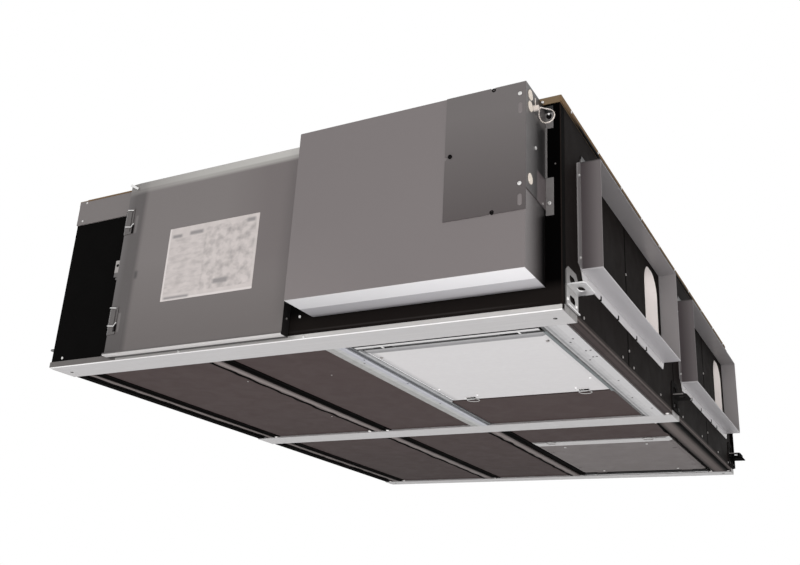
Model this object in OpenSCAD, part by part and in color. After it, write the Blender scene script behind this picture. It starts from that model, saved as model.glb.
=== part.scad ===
// Ceiling air handling unit: a flat insulated casing in two modules on galvanised rails,
// with two bottom access doors, four duct collars, a control box and hanging brackets.
// Millimetres. +X right, +Y back, +Z up, origin on the rails' underside in the middle.

/* [Casing] */
// Width of the casing from side to side
casing_w = 1460; // [1400:10:1600]
// Depth of the casing over the rail flanges
casing_d = 1980; // [1900:10:2200]
// Height of the casing from the rails' underside
casing_h = 505; // [480:5:560]
// Thickness of the insulated walls
wall_t = 25; // [15:1:35]
// Thickness of the insulated floor panels
floor_t = 25; // [16:1:35]
// Thickness of the top panels
top_t = 18; // [8:1:24]
// Width of the seam between the two top panels
top_seam = 3; // [2:0.5:6]
// How far the seam between the two modules lies behind the middle
split_y = 21; // [0:1:40]
// Thickness of folded sheet metal
sheet_t = 2; // [1.5:0.5:3]

/* [Rails] */
// Depth of the front rail
front_rail_w = 93; // [80:1:100]
// Depth of the middle rail
mid_rail_w = 91; // [70:1:110]
// Depth of the rear rail
rear_rail_w = 63; // [50:1:70]
// Height of the rails that carry the floor
rail_h = 6; // [5:0.5:10]
// Height of the outer flange on the end rails
rail_flange_h = 12; // [8:1:20]
// Height of the flange turned up at each end of a rail
rail_end_h = 16; // [12:1:20]
// Notch between a rail's outer flange and its end flange
rail_notch = 12; // [8:1:20]

/* [Floor seams] */
// Width of the seam along the left side
left_seam_w = 86; // [70:1:100]
// Width of the seam along the right side
right_seam_w = 74; // [66:1:80]
// Left edge of the first seam between floor panels
seam_1_x = -268; // [-300:1:-240]
// Left edge of the second seam between floor panels
seam_2_x = 108; // [90:1:115]
// Width of a seam between floor panels
seam_w = 72; // [60:1:74]
// Width of the rubber bead in a seam
bead_w = 26; // [18:1:30]
// How far the bead stands below the floor
bead_drop = 4; // [2:0.5:5]
// Open line beside a cover strip
seam_line = 10; // [6:1:14]
// Thickness of the seam's cover strip
strip_t = 2; // [1:0.5:3]

/* [Access doors] */
// Clear gap round a closed door
door_gap = 6; // [5.5:0.5:10]
// Thickness of a door
door_t = 22; // [15:1:24]
// Height of a door's face over the rails' underside
door_face_z = 4; // [3:0.5:5]
// Middle of the front door across the unit
front_door_x = 409; // [400:1:415]
// Width of the front door
front_door_w = 463; // [440:1:480]
// Length of the front door's flat face
front_door_l = 504; // [440:4:520]
// Middle of the rear door across the unit
rear_door_x = 418; // [410:1:425]
// Width of the rear door
rear_door_w = 464; // [430:1:466]
// Length of the rear door's flat face
rear_door_l = 522; // [450:4:560]
// Depth of the rear door's galvanised latch strip
latch_strip_w = 53; // [40:1:60]
// How far the door's hinge edge slopes back
hinge_slope_l = 25; // [15:1:30]
// How far the door's hinge edge slopes up
hinge_slope_h = 8; // [4:1:10]
// Gap from the hinge axis to the sloping edge of the door
hinge_reach = 6; // [6:0.5:10]
// Width of the sloping rim along a door's sides
rim_w = 12; // [8:1:16]
// How far the rim slopes up
rim_h = 4; // [2:0.5:6]
// Distance of the front door's hinge axis behind the front rail
front_hinge_set = 35; // [30:1:46]
// Distance of the rear door's hinge axis before the rear rail
rear_hinge_set = 30; // [26:1:34]
// Height of the hinge axis
hinge_z = 7; // [6.5:0.5:9]
// Radius of the hinge rod
hinge_rod_r = 4; // [3:0.5:4]
// Running clearance between rod and knuckle
hinge_clear = 0.4; // [0.3:0.1:0.8]
// Radius of a hinge knuckle
knuckle_r = 6; // [5.5:0.5:6]
// Length of a hinge knuckle
knuckle_l = 40; // [25:1:60]
// Distance of the knuckles from the door's sides
knuckle_inset = 50; // [35:1:80]
// Clearance between a knuckle and the fixed hinge leaf
leaf_clear = 5; // [5:0.5:8]
// Thickness of the fixed hinge leaf
leaf_t = 2; // [1.5:0.5:3]
// Height of the leaf's underside
leaf_z = 1.5; // [1:0.5:3]
// Open gap between the leaf and the hinge axis
leaf_gap = 6; // [5:0.5:8]
// Open groove between the rail and the leaf
leaf_groove = 10; // [6:1:12]
// Height of the groove's roof over the floor panels' underside
leaf_roof = 2; // [1:0.5:4]
// Width of the arms that carry the hinge rod
arm_w = 8; // [5:1:14]
// Radius of a pull ring, at the middle of its wire
ring_r = 17; // [12:1:22]
// Radius of the ring's wire
ring_wire_r = 1.2; // [1:0.1:1.4]
// Distance of the pull rings from the door's sides
ring_inset = 68; // [50:1:90]
// Distance of the pull rings from the door's latch edge
ring_edge = 6; // [4:1:30]
// Width of the saddle that holds a ring
saddle_w = 20; // [14:1:28]
// Depth of the saddle
saddle_d = 9; // [6:1:12]
// How far the saddle stands off the door
saddle_h = 3.2; // [3:0.1:3.6]
// Clearance of the ring in its saddle
saddle_clear = 0.3; // [0.2:0.1:0.5]
// Width of the clips at the ends of the rear door's latch strip
clip_w = 34; // [24:1:36]
// Depth of those clips
clip_d = 16; // [10:1:24]
// Thickness of those clips
clip_t = 1.5; // [1:0.5:2]
// Length of the slots near the rear door's sides
door_slot_l = 14; // [10:1:20]
// Width of those slots
door_slot_w = 6; // [4:1:8]
// Depth of those slots
door_slot_depth = 3; // [2:0.5:6]
// Distance of those slots from the door's sides
door_slot_in = 20; // [18:1:30]
// Distance of the first slots behind the latch strip
door_slot_near = 116; // [80:1:160]
// Distance of the last slots behind the latch strip
door_slot_far = 423; // [360:1:440]

/* [Door frame] */
// How far the left frame strip laps under the floor panel
frame_lap = 6; // [4:1:10]
// Width of the step along a frame strip's door side
frame_step_w = 13; // [8:1:18]
// Height of that step
frame_step_h = 2.5; // [1:0.5:4]
// Width of the step along the left strip's panel side
frame_edge_w = 10; // [6:1:14]
// Height of that step
frame_edge_h = 1.5; // [1:0.5:3]
// Width of the brown sill beside the right frame strip, under the wall
sill_w = 22; // [15:1:24]
// Height of the sill's folded lip over the rails' underside
sill_lip_z = 1; // [0.5:0.5:2]

/* [Duct collars] */
// Middle of the front collar along the side
front_collar_y = -482; // [-500:1:-460]
// Middle of the rear collar along the side
rear_collar_y = 505; // [485:1:525]
// Length of a collar along the side
collar_l = 755; // [700:5:780]
// Underside of a collar
collar_z = 133; // [125:1:145]
// Height of a collar
collar_h = 267; // [230:1:290]
// How far a collar stands out from the wall
collar_p = 50; // [35:1:70]
// Sheet thickness of a collar
collar_t = 3; // [2:0.5:4]
// Width of the collar's flange on the wall
collar_flange_w = 22; // [18:1:30]
// How far the ends of a collar's flanges are cut back
collar_cut = 12; // [6:1:18]
// Places of the notches in the collar's bottom flange, from its middle
notch_places = [-237, -92, 79, 178];
// Width of a notch
notch_w = 14; // [8:1:20]
// Depth of a notch
notch_h = 12; // [8:1:16]

/* [Duct ports] */
// Distance of a port's middle from the middle of its collar
port_offset = 278; // [250:1:285]
// Width of a port
port_w = 155; // [120:1:160]
// Underside of a port
port_z = 150; // [145:1:170]
// Height of a port
port_h = 233; // [190:1:235]
// Radius of a port's upper corners
port_r = 65; // [30:1:75]
// Thickness of the foam duct behind a port
duct_t = 15; // [10:1:16]
// Thickness of the wall's lip over the foam duct's mouth
duct_lip = 3; // [2:0.5:8]
// Clearance of the foam duct in the wall
duct_clear = 0.3; // [0.2:0.1:1]
// Length of the foam duct behind a port
duct_l = 100; // [60:1:140]

/* [Control box] */
// Left side of the control box
box_x = 122; // [110:1:140]
// Width of the control box
box_w = 572; // [540:1:590]
// Underside of the control box
box_z = 52; // [40:1:60]
// Drop from the top panels' underside to the control box's top
box_drop = 9; // [5:1:40]
// Depth of the box's back part on the wall
box_back_d = 57; // [40:1:70]
// Depth of the box's front cover
box_cover_d = 62; // [45:1:75]
// Width of the access cover on the front
access_w = 183; // [150:1:220]
// Height of the access cover
access_h = 299; // [240:1:330]
// Height of the access cover's flange round the box's right side
access_side_h = 250; // [200:1:280]
// Radius of the screw notches in the access cover's edges
access_notch_r = 5; // [3:0.5:7]
// Radius of a knockout plug
plug_r = 12; // [8:1:14]
// Thickness of a knockout plug's rim
plug_t = 1.5; // [1:0.5:3]
// Drop from the box's top to the first knockout plug
plug_drop = 21; // [16:1:26]
// Distance between the twin knockout plugs
plug_pitch = 28; // [26:1:34]
// Drop from the box's top to the single knockout plug
plug_low_drop = 221; // [180:1:260]
// Distance of the plugs behind the box's front
plug_back = 23; // [18:1:34]
// How far the fixing ears stand out beside the box
ear_w = 20; // [16:1:26]
// Height of the upper fixing ear
ear_upper_h = 56; // [40:1:70]
// How far the upper fixing ear stands over the box's top
ear_upper_rise = 3; // [0:0.5:4]
// Height of the lower fixing ear
ear_lower_h = 89; // [60:1:110]
// Underside of the lower fixing ear
ear_lower_z = 214; // [190:1:240]
// Radius of the hole in a fixing ear
ear_hole_r = 5; // [3:0.5:7]
// Radius of the cable tie's loop
tie_r = 19; // [12:1:22]
// Drop from the box's top to the middle of the tie's loop
tie_drop = 40; // [30:1:48]
// Distance of the loop before the wall
tie_out = 42; // [25:1:48]
// Length of the cable tie's head
tie_head_l = 12; // [8:1:16]
// Width of the cable tie's head
tie_head_w = 7; // [5:1:9]
// Radius of the cable tie's strap
tie_strap_r = 2; // [1.5:0.5:2.5]

/* [Front cover] */
// Left side of the front cover
cover_x = -510; // [-530:1:-490]
// Width of the front cover
cover_w = 568; // [540:1:590]
// Underside of the front cover
cover_z = 8; // [6:1:10]
// Drop from the casing's top to the front cover's top
cover_drop = 0; // [0:0.5:10]
// Depth of the front cover
cover_d = 28; // [20:1:34]
// Width of the cover's bent-back left strip
cover_bend_w = 58; // [40:1:80]
// How far the left strip bends back
cover_bend_d = 6; // [2:1:10]
// Radius of the cover's rounded top edge
cover_round = 4; // [3:1:24]
// Radius of the hem along the cover's foot
cover_hem_r = 4; // [3:0.5:6]
// How far the hem stands out of the cover's face
cover_hem_out = 1.5; // [0.5:0.5:2.5]
// Height of the grey strip at the top left of the front
top_strip_h = 60; // [40:1:80]
// Drop from the casing's top to the top of that strip
top_strip_drop = 4; // [2:1:8]
// Height of the upper latch over the cover's underside
latch_upper_z = 367; // [340:1:390]
// Height of the lower latch over the cover's underside
latch_lower_z = 79; // [60:1:110]
// Length of a latch
latch_l = 53; // [40:1:60]
// Radius of the latch wire
latch_wire_r = 2.5; // [2:0.5:3]
// How far the latch wire stands out beside the cover
latch_out = 9; // [7:1:14]
// Width of a latch's plate
latch_plate_w = 30; // [24:1:40]
// Thickness of a latch's plate
latch_plate_t = 1.5; // [1:0.5:2.5]
// How far the plate runs on below the wire
latch_plate_drop = 22; // [10:1:30]
// Width of the slot in a latch's plate
latch_slot_w = 7; // [5:1:9]
// Distance of that slot from the cover's edge
latch_slot_in = 20; // [16:1:22]
// Height of the middle tab over the cover's underside
tab_z = 219; // [200:1:240]
// Height of the middle tab
tab_h = 51; // [36:1:60]
// How far the middle tab stands out beside the cover
tab_w = 14; // [10:1:18]
// Radius of the hole in the middle tab
tab_hole_r = 4; // [3:0.5:5]

/* [Hanging brackets] */
// Width of a bracket along the side
hanger_w = 76; // [60:1:90]
// Gap between a rail's end flange and the bracket over it
hanger_foot_gap = 1; // [1:0.5:3]
// Gap between a bracket's wall plate and the collar's flange over it
hanger_gap = 4; // [3:0.5:10]
// Thickness of a bracket
hanger_t = 3; // [2:0.5:4]
// Height of the tongue over the foot of the wall plate
tongue_rise = 44; // [36:1:50]
// How far the tongue stands out from the wall
tongue_l = 42; // [36:1:50]
// Width of a bracket's slots
slot_w = 15; // [10:1:16]
// Length of the slot in a bracket's tongue
slot_l = 28; // [22:1:40]
// Length of the slots in a bracket's wall plate
plate_slot_l = 36; // [24:1:44]
// Distance of the slot from the wall
slot_out = 22; // [20:1:24]
// How far the wall plate's upper corners are cut off
hanger_cut = 12; // [6:1:16]
// How far the lip at the wall plate's foot stands out
hanger_lip = 7; // [4:1:12]
// Radius of the tongue's outer corners
tongue_r = 10; // [6:1:14]
// Distance of the end brackets from the casing's ends
hanger_end = 60; // [50:1:80]

/* [Hidden] */
$fn = 48;
// How far a cut runs past the faces that it opens
over = 1;
half_w = casing_w / 2;
front_y = -casing_d / 2;
rear_y = casing_d / 2;
wall_front_y = front_y + sheet_t;
wall_rear_y = rear_y - sheet_t;
inner_front_y = wall_front_y + wall_t;
inner_rear_y = wall_rear_y - wall_t;
inner_x = half_w - wall_t;
wall_top = casing_h - top_t;
floor_top = rail_h + floor_t;
front_rail_back = front_y + front_rail_w;
mid_rail_front = split_y - mid_rail_w / 2;
mid_rail_back = split_y + mid_rail_w / 2;
rear_rail_front = rear_y - rear_rail_w;
left_panel_x = -half_w + left_seam_w;
right_panel_x = half_w - right_seam_w;
seam_1_end = seam_1_x + seam_w;
seam_2_end = seam_2_x + seam_w;
front_door_left = front_door_x - front_door_w / 2;
front_door_right = front_door_x + front_door_w / 2;
rear_door_left = rear_door_x - rear_door_w / 2;
rear_door_right = rear_door_x + rear_door_w / 2;
hinge_l = hinge_reach + hinge_slope_l;
front_axis_y = front_rail_back + front_hinge_set;
front_door_back = front_axis_y + hinge_l + front_door_l;
rear_axis_y = rear_rail_front - rear_hinge_set;
rear_door_front = rear_axis_y - hinge_l - rear_door_l - latch_strip_w;
box_right = box_x + box_w;
box_top = wall_top - box_drop;
box_split_y = wall_front_y - box_back_d;
box_front_y = box_split_y - box_cover_d;
ear_upper_z = box_top + ear_upper_rise - ear_upper_h;
cover_right = cover_x + cover_w;
cover_h = casing_h - cover_drop - cover_z;
hanger_z = rail_end_h + hanger_foot_gap;
hanger_h = collar_z - collar_flange_w - hanger_gap - hanger_z;
tongue_z = hanger_z + tongue_rise;
zinc = [0.80, 0.79, 0.78];
black_coat = [0.12, 0.11, 0.11];
brown_panel = [0.33, 0.30, 0.29];
warm_grey = [0.49, 0.47, 0.46];

// A block between two corners
module block(low, high) {
    translate(low) cube(high - low);
}

// A profile drawn in Y and Z, drawn out along X
module along_x(x0, x1) {
    translate([x0, 0, 0]) rotate([90, 0, 90]) linear_extrude(x1 - x0) children();
}

// A profile drawn in X and Z, drawn out along Y
module along_y(y0, y1) {
    translate([0, y1, 0]) rotate([90, 0, 0]) linear_extrude(y1 - y0) children();
}

// A slot with round ends, centred, drawn out along Z
module slot(length, width, depth) {
    straight = length - width;
    for (side = [-1, 1]) translate([0, side * straight / 2, 0]) cylinder(d = width, h = depth, center = true);
    cube([width, straight, depth], center = true);
}

// A folded rail between two edges, with a hem turned up along each and a flange at each end
module rail(y0, y1, hem_0, hem_1, notch_0, notch_1) {
    color(zinc) {
        along_x(-half_w, half_w) polygon([
            [y0, 0], [y1, 0], [y1, hem_1], [y1 - sheet_t, hem_1],
            [y1 - sheet_t, sheet_t], [y0 + sheet_t, sheet_t], [y0 + sheet_t, hem_0], [y0, hem_0]
        ]);
        for (side = [0, 1]) mirror([side, 0, 0]) {
            block([half_w - sheet_t, y0 + notch_0, 0], [half_w + sheet_t, y1 - notch_1, rail_h]);
            block([half_w, y0 + notch_0, 0], [half_w + sheet_t, y1 - notch_1, rail_end_h]);
        }
    }
}

module front_rail() rail(front_y, front_rail_back, rail_flange_h, rail_h, rail_notch, 0);
module mid_rail() rail(mid_rail_front, mid_rail_back, rail_h, rail_h, 0, 0);
module rear_rail() rail(rear_rail_front, rear_y, rail_h, rail_flange_h, 0, rail_notch);

module front_wall() {
    color(black_coat) block([-half_w, wall_front_y, rail_h], [half_w, inner_front_y, wall_top]);
}

module rear_wall() {
    color(black_coat) block([-half_w, inner_rear_y, rail_h], [half_w, wall_rear_y, wall_top]);
}

// A stretch of the right side wall
module side_wall(y0, y1) {
    color(black_coat) block([inner_x, y0, rail_h], [half_w, y1, wall_top]);
}

// The outline of a duct port, widened by a margin
module port_outline(margin) {
    w = port_w + 2 * margin;
    r = port_r + margin;
    low = port_z - margin;
    high = port_z + port_h + margin;
    translate([-w / 2, low]) square([w, high - low - r]);
    translate([-w / 2 + r, low]) square([w - 2 * r, high - low]);
    for (side = [-1, 1]) translate([side * (w / 2 - r), high - r]) circle(r);
}

// A stretch of the right side wall with its port
module port_wall(y0, y1, collar_y) {
    color(black_coat) difference() {
        side_wall(y0, y1);
        translate([0, collar_y + port_offset, 0]) {
            along_x(inner_x - over, half_w + over) port_outline(0);
            along_x(inner_x - over, half_w - duct_lip) port_outline(duct_t + duct_clear);
        }
    }
}

module right_wall_front() side_wall(inner_front_y, front_collar_y);
module right_wall_front_port() port_wall(front_collar_y, split_y, front_collar_y);
module right_wall_rear() side_wall(split_y, rear_collar_y);
module right_wall_rear_port() port_wall(rear_collar_y, inner_rear_y, rear_collar_y);
module left_wall_front() mirror([1, 0, 0]) right_wall_front();
module left_wall_front_port() mirror([1, 0, 0]) right_wall_front_port();
module left_wall_rear() mirror([1, 0, 0]) right_wall_rear();
module left_wall_rear_port() mirror([1, 0, 0]) right_wall_rear_port();

// One top panel over each module
module top_panels() {
    color([0.48, 0.40, 0.30]) {
        block([-half_w, front_y, wall_top], [half_w, split_y - top_seam / 2, casing_h]);
        block([-half_w, split_y + top_seam / 2, wall_top], [half_w, rear_y, casing_h]);
    }
}

// A floor panel of the front or the rear module
module floor_panel(x0, x1, y0, y1) {
    color(brown_panel) block([x0, y0, rail_h], [x1, y1, floor_top]);
}

module floor_front_left() floor_panel(left_panel_x, seam_1_x, inner_front_y, split_y);
module floor_front_centre() floor_panel(seam_1_end, seam_2_x, inner_front_y, split_y);
module floor_front_right() {
    left = front_door_left - door_gap;
    right = front_door_right + door_gap;
    floor_panel(left, right, inner_front_y, front_rail_back);
    floor_panel(left, right, front_door_back + door_gap, split_y);
}
module floor_rear_left() floor_panel(left_panel_x, seam_1_x, split_y, inner_rear_y);
module floor_rear_centre() floor_panel(seam_1_end, seam_2_x, split_y, inner_rear_y);
module floor_rear_right() {
    floor_panel(seam_2_end, right_panel_x, split_y, rear_door_front - door_gap);
    floor_panel(seam_2_end, right_panel_x, rear_rail_front, inner_rear_y);
}

// The foam that fills a seam, and the round bead pressed into one side of it
module gasket(x0, x1, y0, y1) {
    block([x0, y0, rail_h + strip_t], [x1, y1, floor_top]);
}

module bead(x0, y0, y1) {
    across = bead_w / 2;
    bead_r = (across * across + bead_drop * bead_drop) / (2 * bead_drop);
    along_y(y0, y1) intersection() {
        translate([x0 + across, rail_h - bead_drop + bead_r]) circle(bead_r);
        translate([x0, rail_h - bead_drop]) square([bead_w, bead_drop + strip_t]);
    }
}

module seam_gaskets() {
    color(black_coat) {
        for (bay = [[inner_front_y, split_y, front_rail_back, mid_rail_front],
                    [split_y, inner_rear_y, mid_rail_back, rear_rail_front]]) {
            gasket(-inner_x, left_panel_x, bay[0], bay[1]);
            gasket(seam_1_x, seam_1_end, bay[0], bay[1]);
            bead(left_panel_x - bead_w, bay[2], bay[3]);
            bead(seam_1_end - bead_w, bay[2], bay[3]);
            block([-half_w, bay[2], sheet_t], [-inner_x, bay[3], rail_h]);
        }
        gasket(seam_2_x, seam_2_end, split_y, inner_rear_y);
        bead(seam_2_end - bead_w, mid_rail_back, rear_door_front - door_gap);
        gasket(right_panel_x, inner_x, split_y, inner_rear_y);
        block([half_w - seam_line, mid_rail_back, sheet_t], [half_w, rear_rail_front, rail_h]);
    }
}

// A flat cover strip in a seam, between the rails
module strip(x0, x1, y0, y1) {
    block([x0, y0, rail_h - strip_t], [x1, y1, rail_h + strip_t]);
}

module seam_strips() {
    color(warm_grey) {
        for (bay = [[front_rail_back, mid_rail_front], [mid_rail_back, rear_rail_front]]) {
            strip(-inner_x + seam_line, left_panel_x - bead_w, bay[0], bay[1]);
            strip(seam_1_x + seam_line, seam_1_end - bead_w, bay[0], bay[1]);
        }
        strip(seam_2_x + seam_line, seam_2_end - bead_w, mid_rail_back, rear_rail_front);
        strip(right_panel_x + seam_line, right_panel_x + 2 * seam_line, mid_rail_back, rear_rail_front);
        strip(right_panel_x + 3 * seam_line, inner_x, mid_rail_back, rear_rail_front);
        block([inner_x, mid_rail_back, rail_h - strip_t], [half_w - seam_line, rear_rail_front, rail_h]);
    }
}

// The brown sill under the right wall, with its edge folded up the wall, and the edging of the rear module
module right_sill() {
    sill_x = half_w - sill_w;
    edge_x = half_w + sheet_t;
    color(brown_panel) {
        along_y(front_rail_back, mid_rail_front) polygon([
            [sill_x, rail_h], [sill_x, rail_h - sheet_t], [half_w, rail_h - sheet_t], [half_w, sill_lip_z],
            [edge_x, sill_lip_z], [edge_x, rail_end_h], [half_w, rail_end_h], [half_w, rail_h]
        ]);
        block([half_w, mid_rail_back, sill_lip_z], [edge_x, rear_rail_front, rail_end_h]);
    }
}

// The galvanised frame beside the front door: a stepped strip on each side,
// with its jamb up to the floor's top
module door_frame() {
    left = front_door_left - door_gap;
    right = front_door_right + door_gap;
    strip_left = seam_2_x - frame_lap;
    strip_right = half_w - sill_w;
    color(zinc) {
        along_y(front_rail_back, mid_rail_front) {
            polygon([
                [strip_left, rail_h], [strip_left, frame_edge_h], [strip_left + frame_edge_w, frame_edge_h],
                [strip_left + frame_edge_w, 0], [left - frame_step_w, 0], [left - frame_step_w, frame_step_h],
                [left, frame_step_h], [left, rail_h]
            ]);
            polygon([
                [right, rail_h], [right, frame_step_h], [right + frame_step_w, frame_step_h],
                [right + frame_step_w, 0], [strip_right, 0], [strip_right, rail_h]
            ]);
        }
        block([seam_2_x, inner_front_y, rail_h], [left, split_y, floor_top]);
        block([right, inner_front_y, rail_h], [inner_x, split_y, floor_top]);
    }
}

// Where the two knuckles of a door start
function knuckle_starts(x0, x1) = [x0 + knuckle_inset, x1 - knuckle_inset - knuckle_l];

// The fixed half of a hinge with its axis at the origin and the rail at set along -Y:
// a folded leaf with a groove before it, and arms that carry the rod beside each knuckle
module hinge_half(x0, x1, set) {
    roof = rail_h + leaf_roof - hinge_z;
    leaf = leaf_z - hinge_z;
    reach = knuckle_r + leaf_clear;
    difference() {
        along_x(x0, x1) polygon([
            [-set, roof], [-set + leaf_groove, roof], [-set + leaf_groove, leaf], [-leaf_gap, leaf],
            [-leaf_gap, leaf + leaf_t], [-set + leaf_groove + sheet_t, leaf + leaf_t],
            [-set + leaf_groove + sheet_t, roof + sheet_t], [-set, roof + sheet_t]
        ]);
        for (x = knuckle_starts(x0, x1))
            block([x - leaf_clear, -reach, -reach], [x + knuckle_l + leaf_clear, reach, reach]);
    }
    translate([x0, 0, 0]) rotate([0, 90, 0]) cylinder(r = hinge_rod_r, h = x1 - x0);
    for (x = knuckle_starts(x0, x1)) for (arm_x = [x - leaf_clear - arm_w, x + knuckle_l + leaf_clear])
        block([arm_x, -leaf_gap - leaf_t, leaf], [arm_x + arm_w, 0, leaf + leaf_t]);
}

module hinge_rods() {
    color(zinc) {
        translate([0, front_axis_y, hinge_z]) hinge_half(front_door_left, front_door_right, front_hinge_set);
        translate([0, rear_axis_y, hinge_z]) mirror([0, 1, 0])
            hinge_half(rear_door_left, rear_door_right, rear_hinge_set);
    }
}

// The section of a door across its width, a pan with a sloping rim, over a face at low
function pan_section(x0, x1, low) = [
    [x0, low + door_t], [x0, low + rim_h], [x0 + rim_w, low],
    [x1 - rim_w, low], [x1, low + rim_h], [x1, low + door_t]
];

// A door leaf with its hinge axis at the origin and its face running off along +Y
module door_leaf(x0, x1, face_l, latch_rim) {
    low = door_face_z - hinge_z;
    high = low + door_t;
    far = hinge_l + face_l;
    intersection() {
        along_x(x0, x1) polygon([
            [hinge_reach, low + hinge_slope_h], [hinge_l, low], [far - latch_rim * rim_w, low],
            [far, low + latch_rim * rim_h], [far, high], [hinge_reach, high]
        ]);
        along_y(0, far) polygon(pan_section(x0, x1, low));
    }
    for (x = knuckle_starts(x0, x1)) difference() {
        union() {
            translate([x, 0, 0]) rotate([0, 90, 0]) cylinder(r = knuckle_r, h = knuckle_l);
            block([x, 0, 0], [x + knuckle_l, hinge_reach + sheet_t, knuckle_r]);
        }
        translate([x - over, 0, 0]) rotate([0, 90, 0])
            cylinder(r = hinge_rod_r + hinge_clear, h = knuckle_l + 2 * over);
    }
}

module front_door() {
    color([0.82, 0.80, 0.80]) translate([0, front_axis_y, hinge_z])
        door_leaf(front_door_left, front_door_right, front_door_l, 1);
}

module rear_door() {
    face_y = rear_door_front + latch_strip_w;
    color([0.46, 0.43, 0.43]) difference() {
        translate([0, rear_axis_y, hinge_z]) mirror([0, 1, 0])
            door_leaf(rear_door_left, rear_door_right, rear_door_l, 0);
        for (x = [rear_door_left + door_slot_in, rear_door_right - door_slot_in])
            for (y = [face_y + door_slot_near, face_y + door_slot_far])
                translate([x, y, door_face_z])
                    cube([door_slot_l, door_slot_w, 2 * door_slot_depth], center = true);
    }
}

// The galvanised strip that stiffens the rear door's latch edge, with a clip at each end
module rear_door_latch_strip() {
    color(zinc) {
        along_y(rear_door_front, rear_door_front + latch_strip_w)
            polygon(pan_section(rear_door_left, rear_door_right, door_face_z));
        for (x = [rear_door_left + rim_w, rear_door_right - rim_w - clip_w])
            translate([x, rear_door_front, door_face_z - clip_t]) cube([clip_w, clip_d, 2 * clip_t]);
    }
}

// A ring of round wire lying flat at the origin
module wire_ring(wire_r) {
    rotate_extrude() translate([ring_r, 0]) circle(wire_r, $fn = 16);
}

// A pull ring lying against a door's face, and the saddle that holds it on the side away from the latch edge
module ring_latch(x, y, away) {
    translate([x, y, door_face_z - ring_wire_r]) wire_ring(ring_wire_r);
    difference() {
        translate([x - saddle_w / 2, y + away * ring_r - saddle_d / 2, door_face_z - saddle_h])
            cube([saddle_w, saddle_d, saddle_h]);
        translate([x, y, door_face_z - ring_wire_r]) wire_ring(ring_wire_r + saddle_clear);
    }
}

module front_door_rings() {
    color("silver") for (x = [front_door_left + ring_inset, front_door_right - ring_inset])
        ring_latch(x, front_door_back - ring_edge, -1);
}

module rear_door_rings() {
    color("silver") for (x = [rear_door_left + ring_inset, rear_door_right - ring_inset])
        ring_latch(x, rear_door_front + ring_edge, 1);
}

// A flange folded out of a collar's plate, length long and lying over +Y of the outline, with its ends cut back
module collar_flange(length) {
    polygon([
        [-length / 2, 0], [length / 2, 0],
        [length / 2 - collar_cut, collar_flange_w], [-length / 2 + collar_cut, collar_flange_w]
    ]);
}

// A duct collar on the right wall: four plates, each with a flange on the wall, notched along the foot
module collar(middle_y) {
    centre_z = collar_z + collar_h / 2;
    color([0.41, 0.38, 0.38]) translate([half_w, middle_y, centre_z]) {
        along_x(0, collar_t) difference() {
            union() {
                square([collar_l, collar_h], center = true);
                for (turn = [0, 180]) rotate(turn) {
                    translate([0, collar_h / 2]) collar_flange(collar_l);
                    rotate(90) translate([0, collar_l / 2]) collar_flange(collar_h);
                }
            }
            square([collar_l - 2 * collar_t, collar_h - 2 * collar_t], center = true);
            for (y = notch_places) translate([y, -collar_h / 2 - collar_flange_w]) polygon([
                [-notch_w / 2, -over], [notch_w / 2, -over], [notch_w / 4, notch_h], [-notch_w / 4, notch_h]
            ]);
        }
        along_x(0, collar_p) difference() {
            square([collar_l, collar_h], center = true);
            square([collar_l - 2 * collar_t, collar_h - 2 * collar_t], center = true);
        }
    }
}

module right_collar_front() collar(front_collar_y);
module right_collar_rear() collar(rear_collar_y);
module left_collar_front() mirror([1, 0, 0]) collar(front_collar_y);
module left_collar_rear() mirror([1, 0, 0]) collar(rear_collar_y);

// The pale foam ducts that lead from the ports into the casing
module duct_liners() {
    color([0.90, 0.86, 0.84]) for (side = [0, 1]) mirror([side, 0, 0])
        for (y = [front_collar_y, rear_collar_y]) translate([0, y + port_offset, 0])
            along_x(inner_x - duct_l, half_w - duct_lip) difference() {
                port_outline(duct_t);
                port_outline(0);
            }
}

module control_box_body() {
    color(warm_grey) block([box_x, box_split_y, box_z], [box_right, wall_front_y, box_top]);
}

module control_box_cover() {
    color(warm_grey) block([box_x, box_front_y, box_z], [box_right, box_split_y, box_top]);
}

// The darker plate over the terminals, folded round the box's right side, with half-round screw notches
module control_box_access_cover() {
    left = box_right - access_w;
    middle = box_right - access_w * 0.4;
    foot = box_top - access_h;
    front = box_front_y - sheet_t;
    edge = box_right + sheet_t;
    color([0.43, 0.41, 0.41]) difference() {
        union() {
            block([left, front, foot], [edge, box_front_y, box_top]);
            block([box_right, front, box_top - access_side_h], [edge, wall_front_y, box_top]);
        }
        for (place = [[middle, box_top], [left, foot + access_h / 2], [middle, foot]])
            translate([place.x, box_front_y, place.y]) rotate([90, 0, 0])
                cylinder(r = access_notch_r, h = 3 * sheet_t, center = true);
    }
}

// The ears that screw the control box to the wall
module control_box_ears() {
    x0 = box_right + sheet_t;
    x1 = box_right + ear_w;
    color(zinc) for (ear = [[ear_upper_z, ear_upper_h], [ear_lower_z, ear_lower_h]]) difference() {
        block([x0, wall_front_y - sheet_t, ear[0]], [x1, wall_front_y, ear[0] + ear[1]]);
        translate([(x0 + x1) / 2, wall_front_y, ear[0] + ear[1] / 2])
            rotate([90, 0, 0]) cylinder(r = ear_hole_r, h = 3 * sheet_t, center = true);
    }
}

// The cream plugs in the cable knockouts on the box's right side
module knockout_plugs() {
    color([0.92, 0.87, 0.82]) for (drop = [plug_drop, plug_drop + plug_pitch, plug_low_drop])
        translate([box_right + sheet_t, box_front_y + plug_back, box_top - drop])
            rotate([0, 90, 0]) cylinder(r = plug_r, h = plug_t);
}

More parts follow.
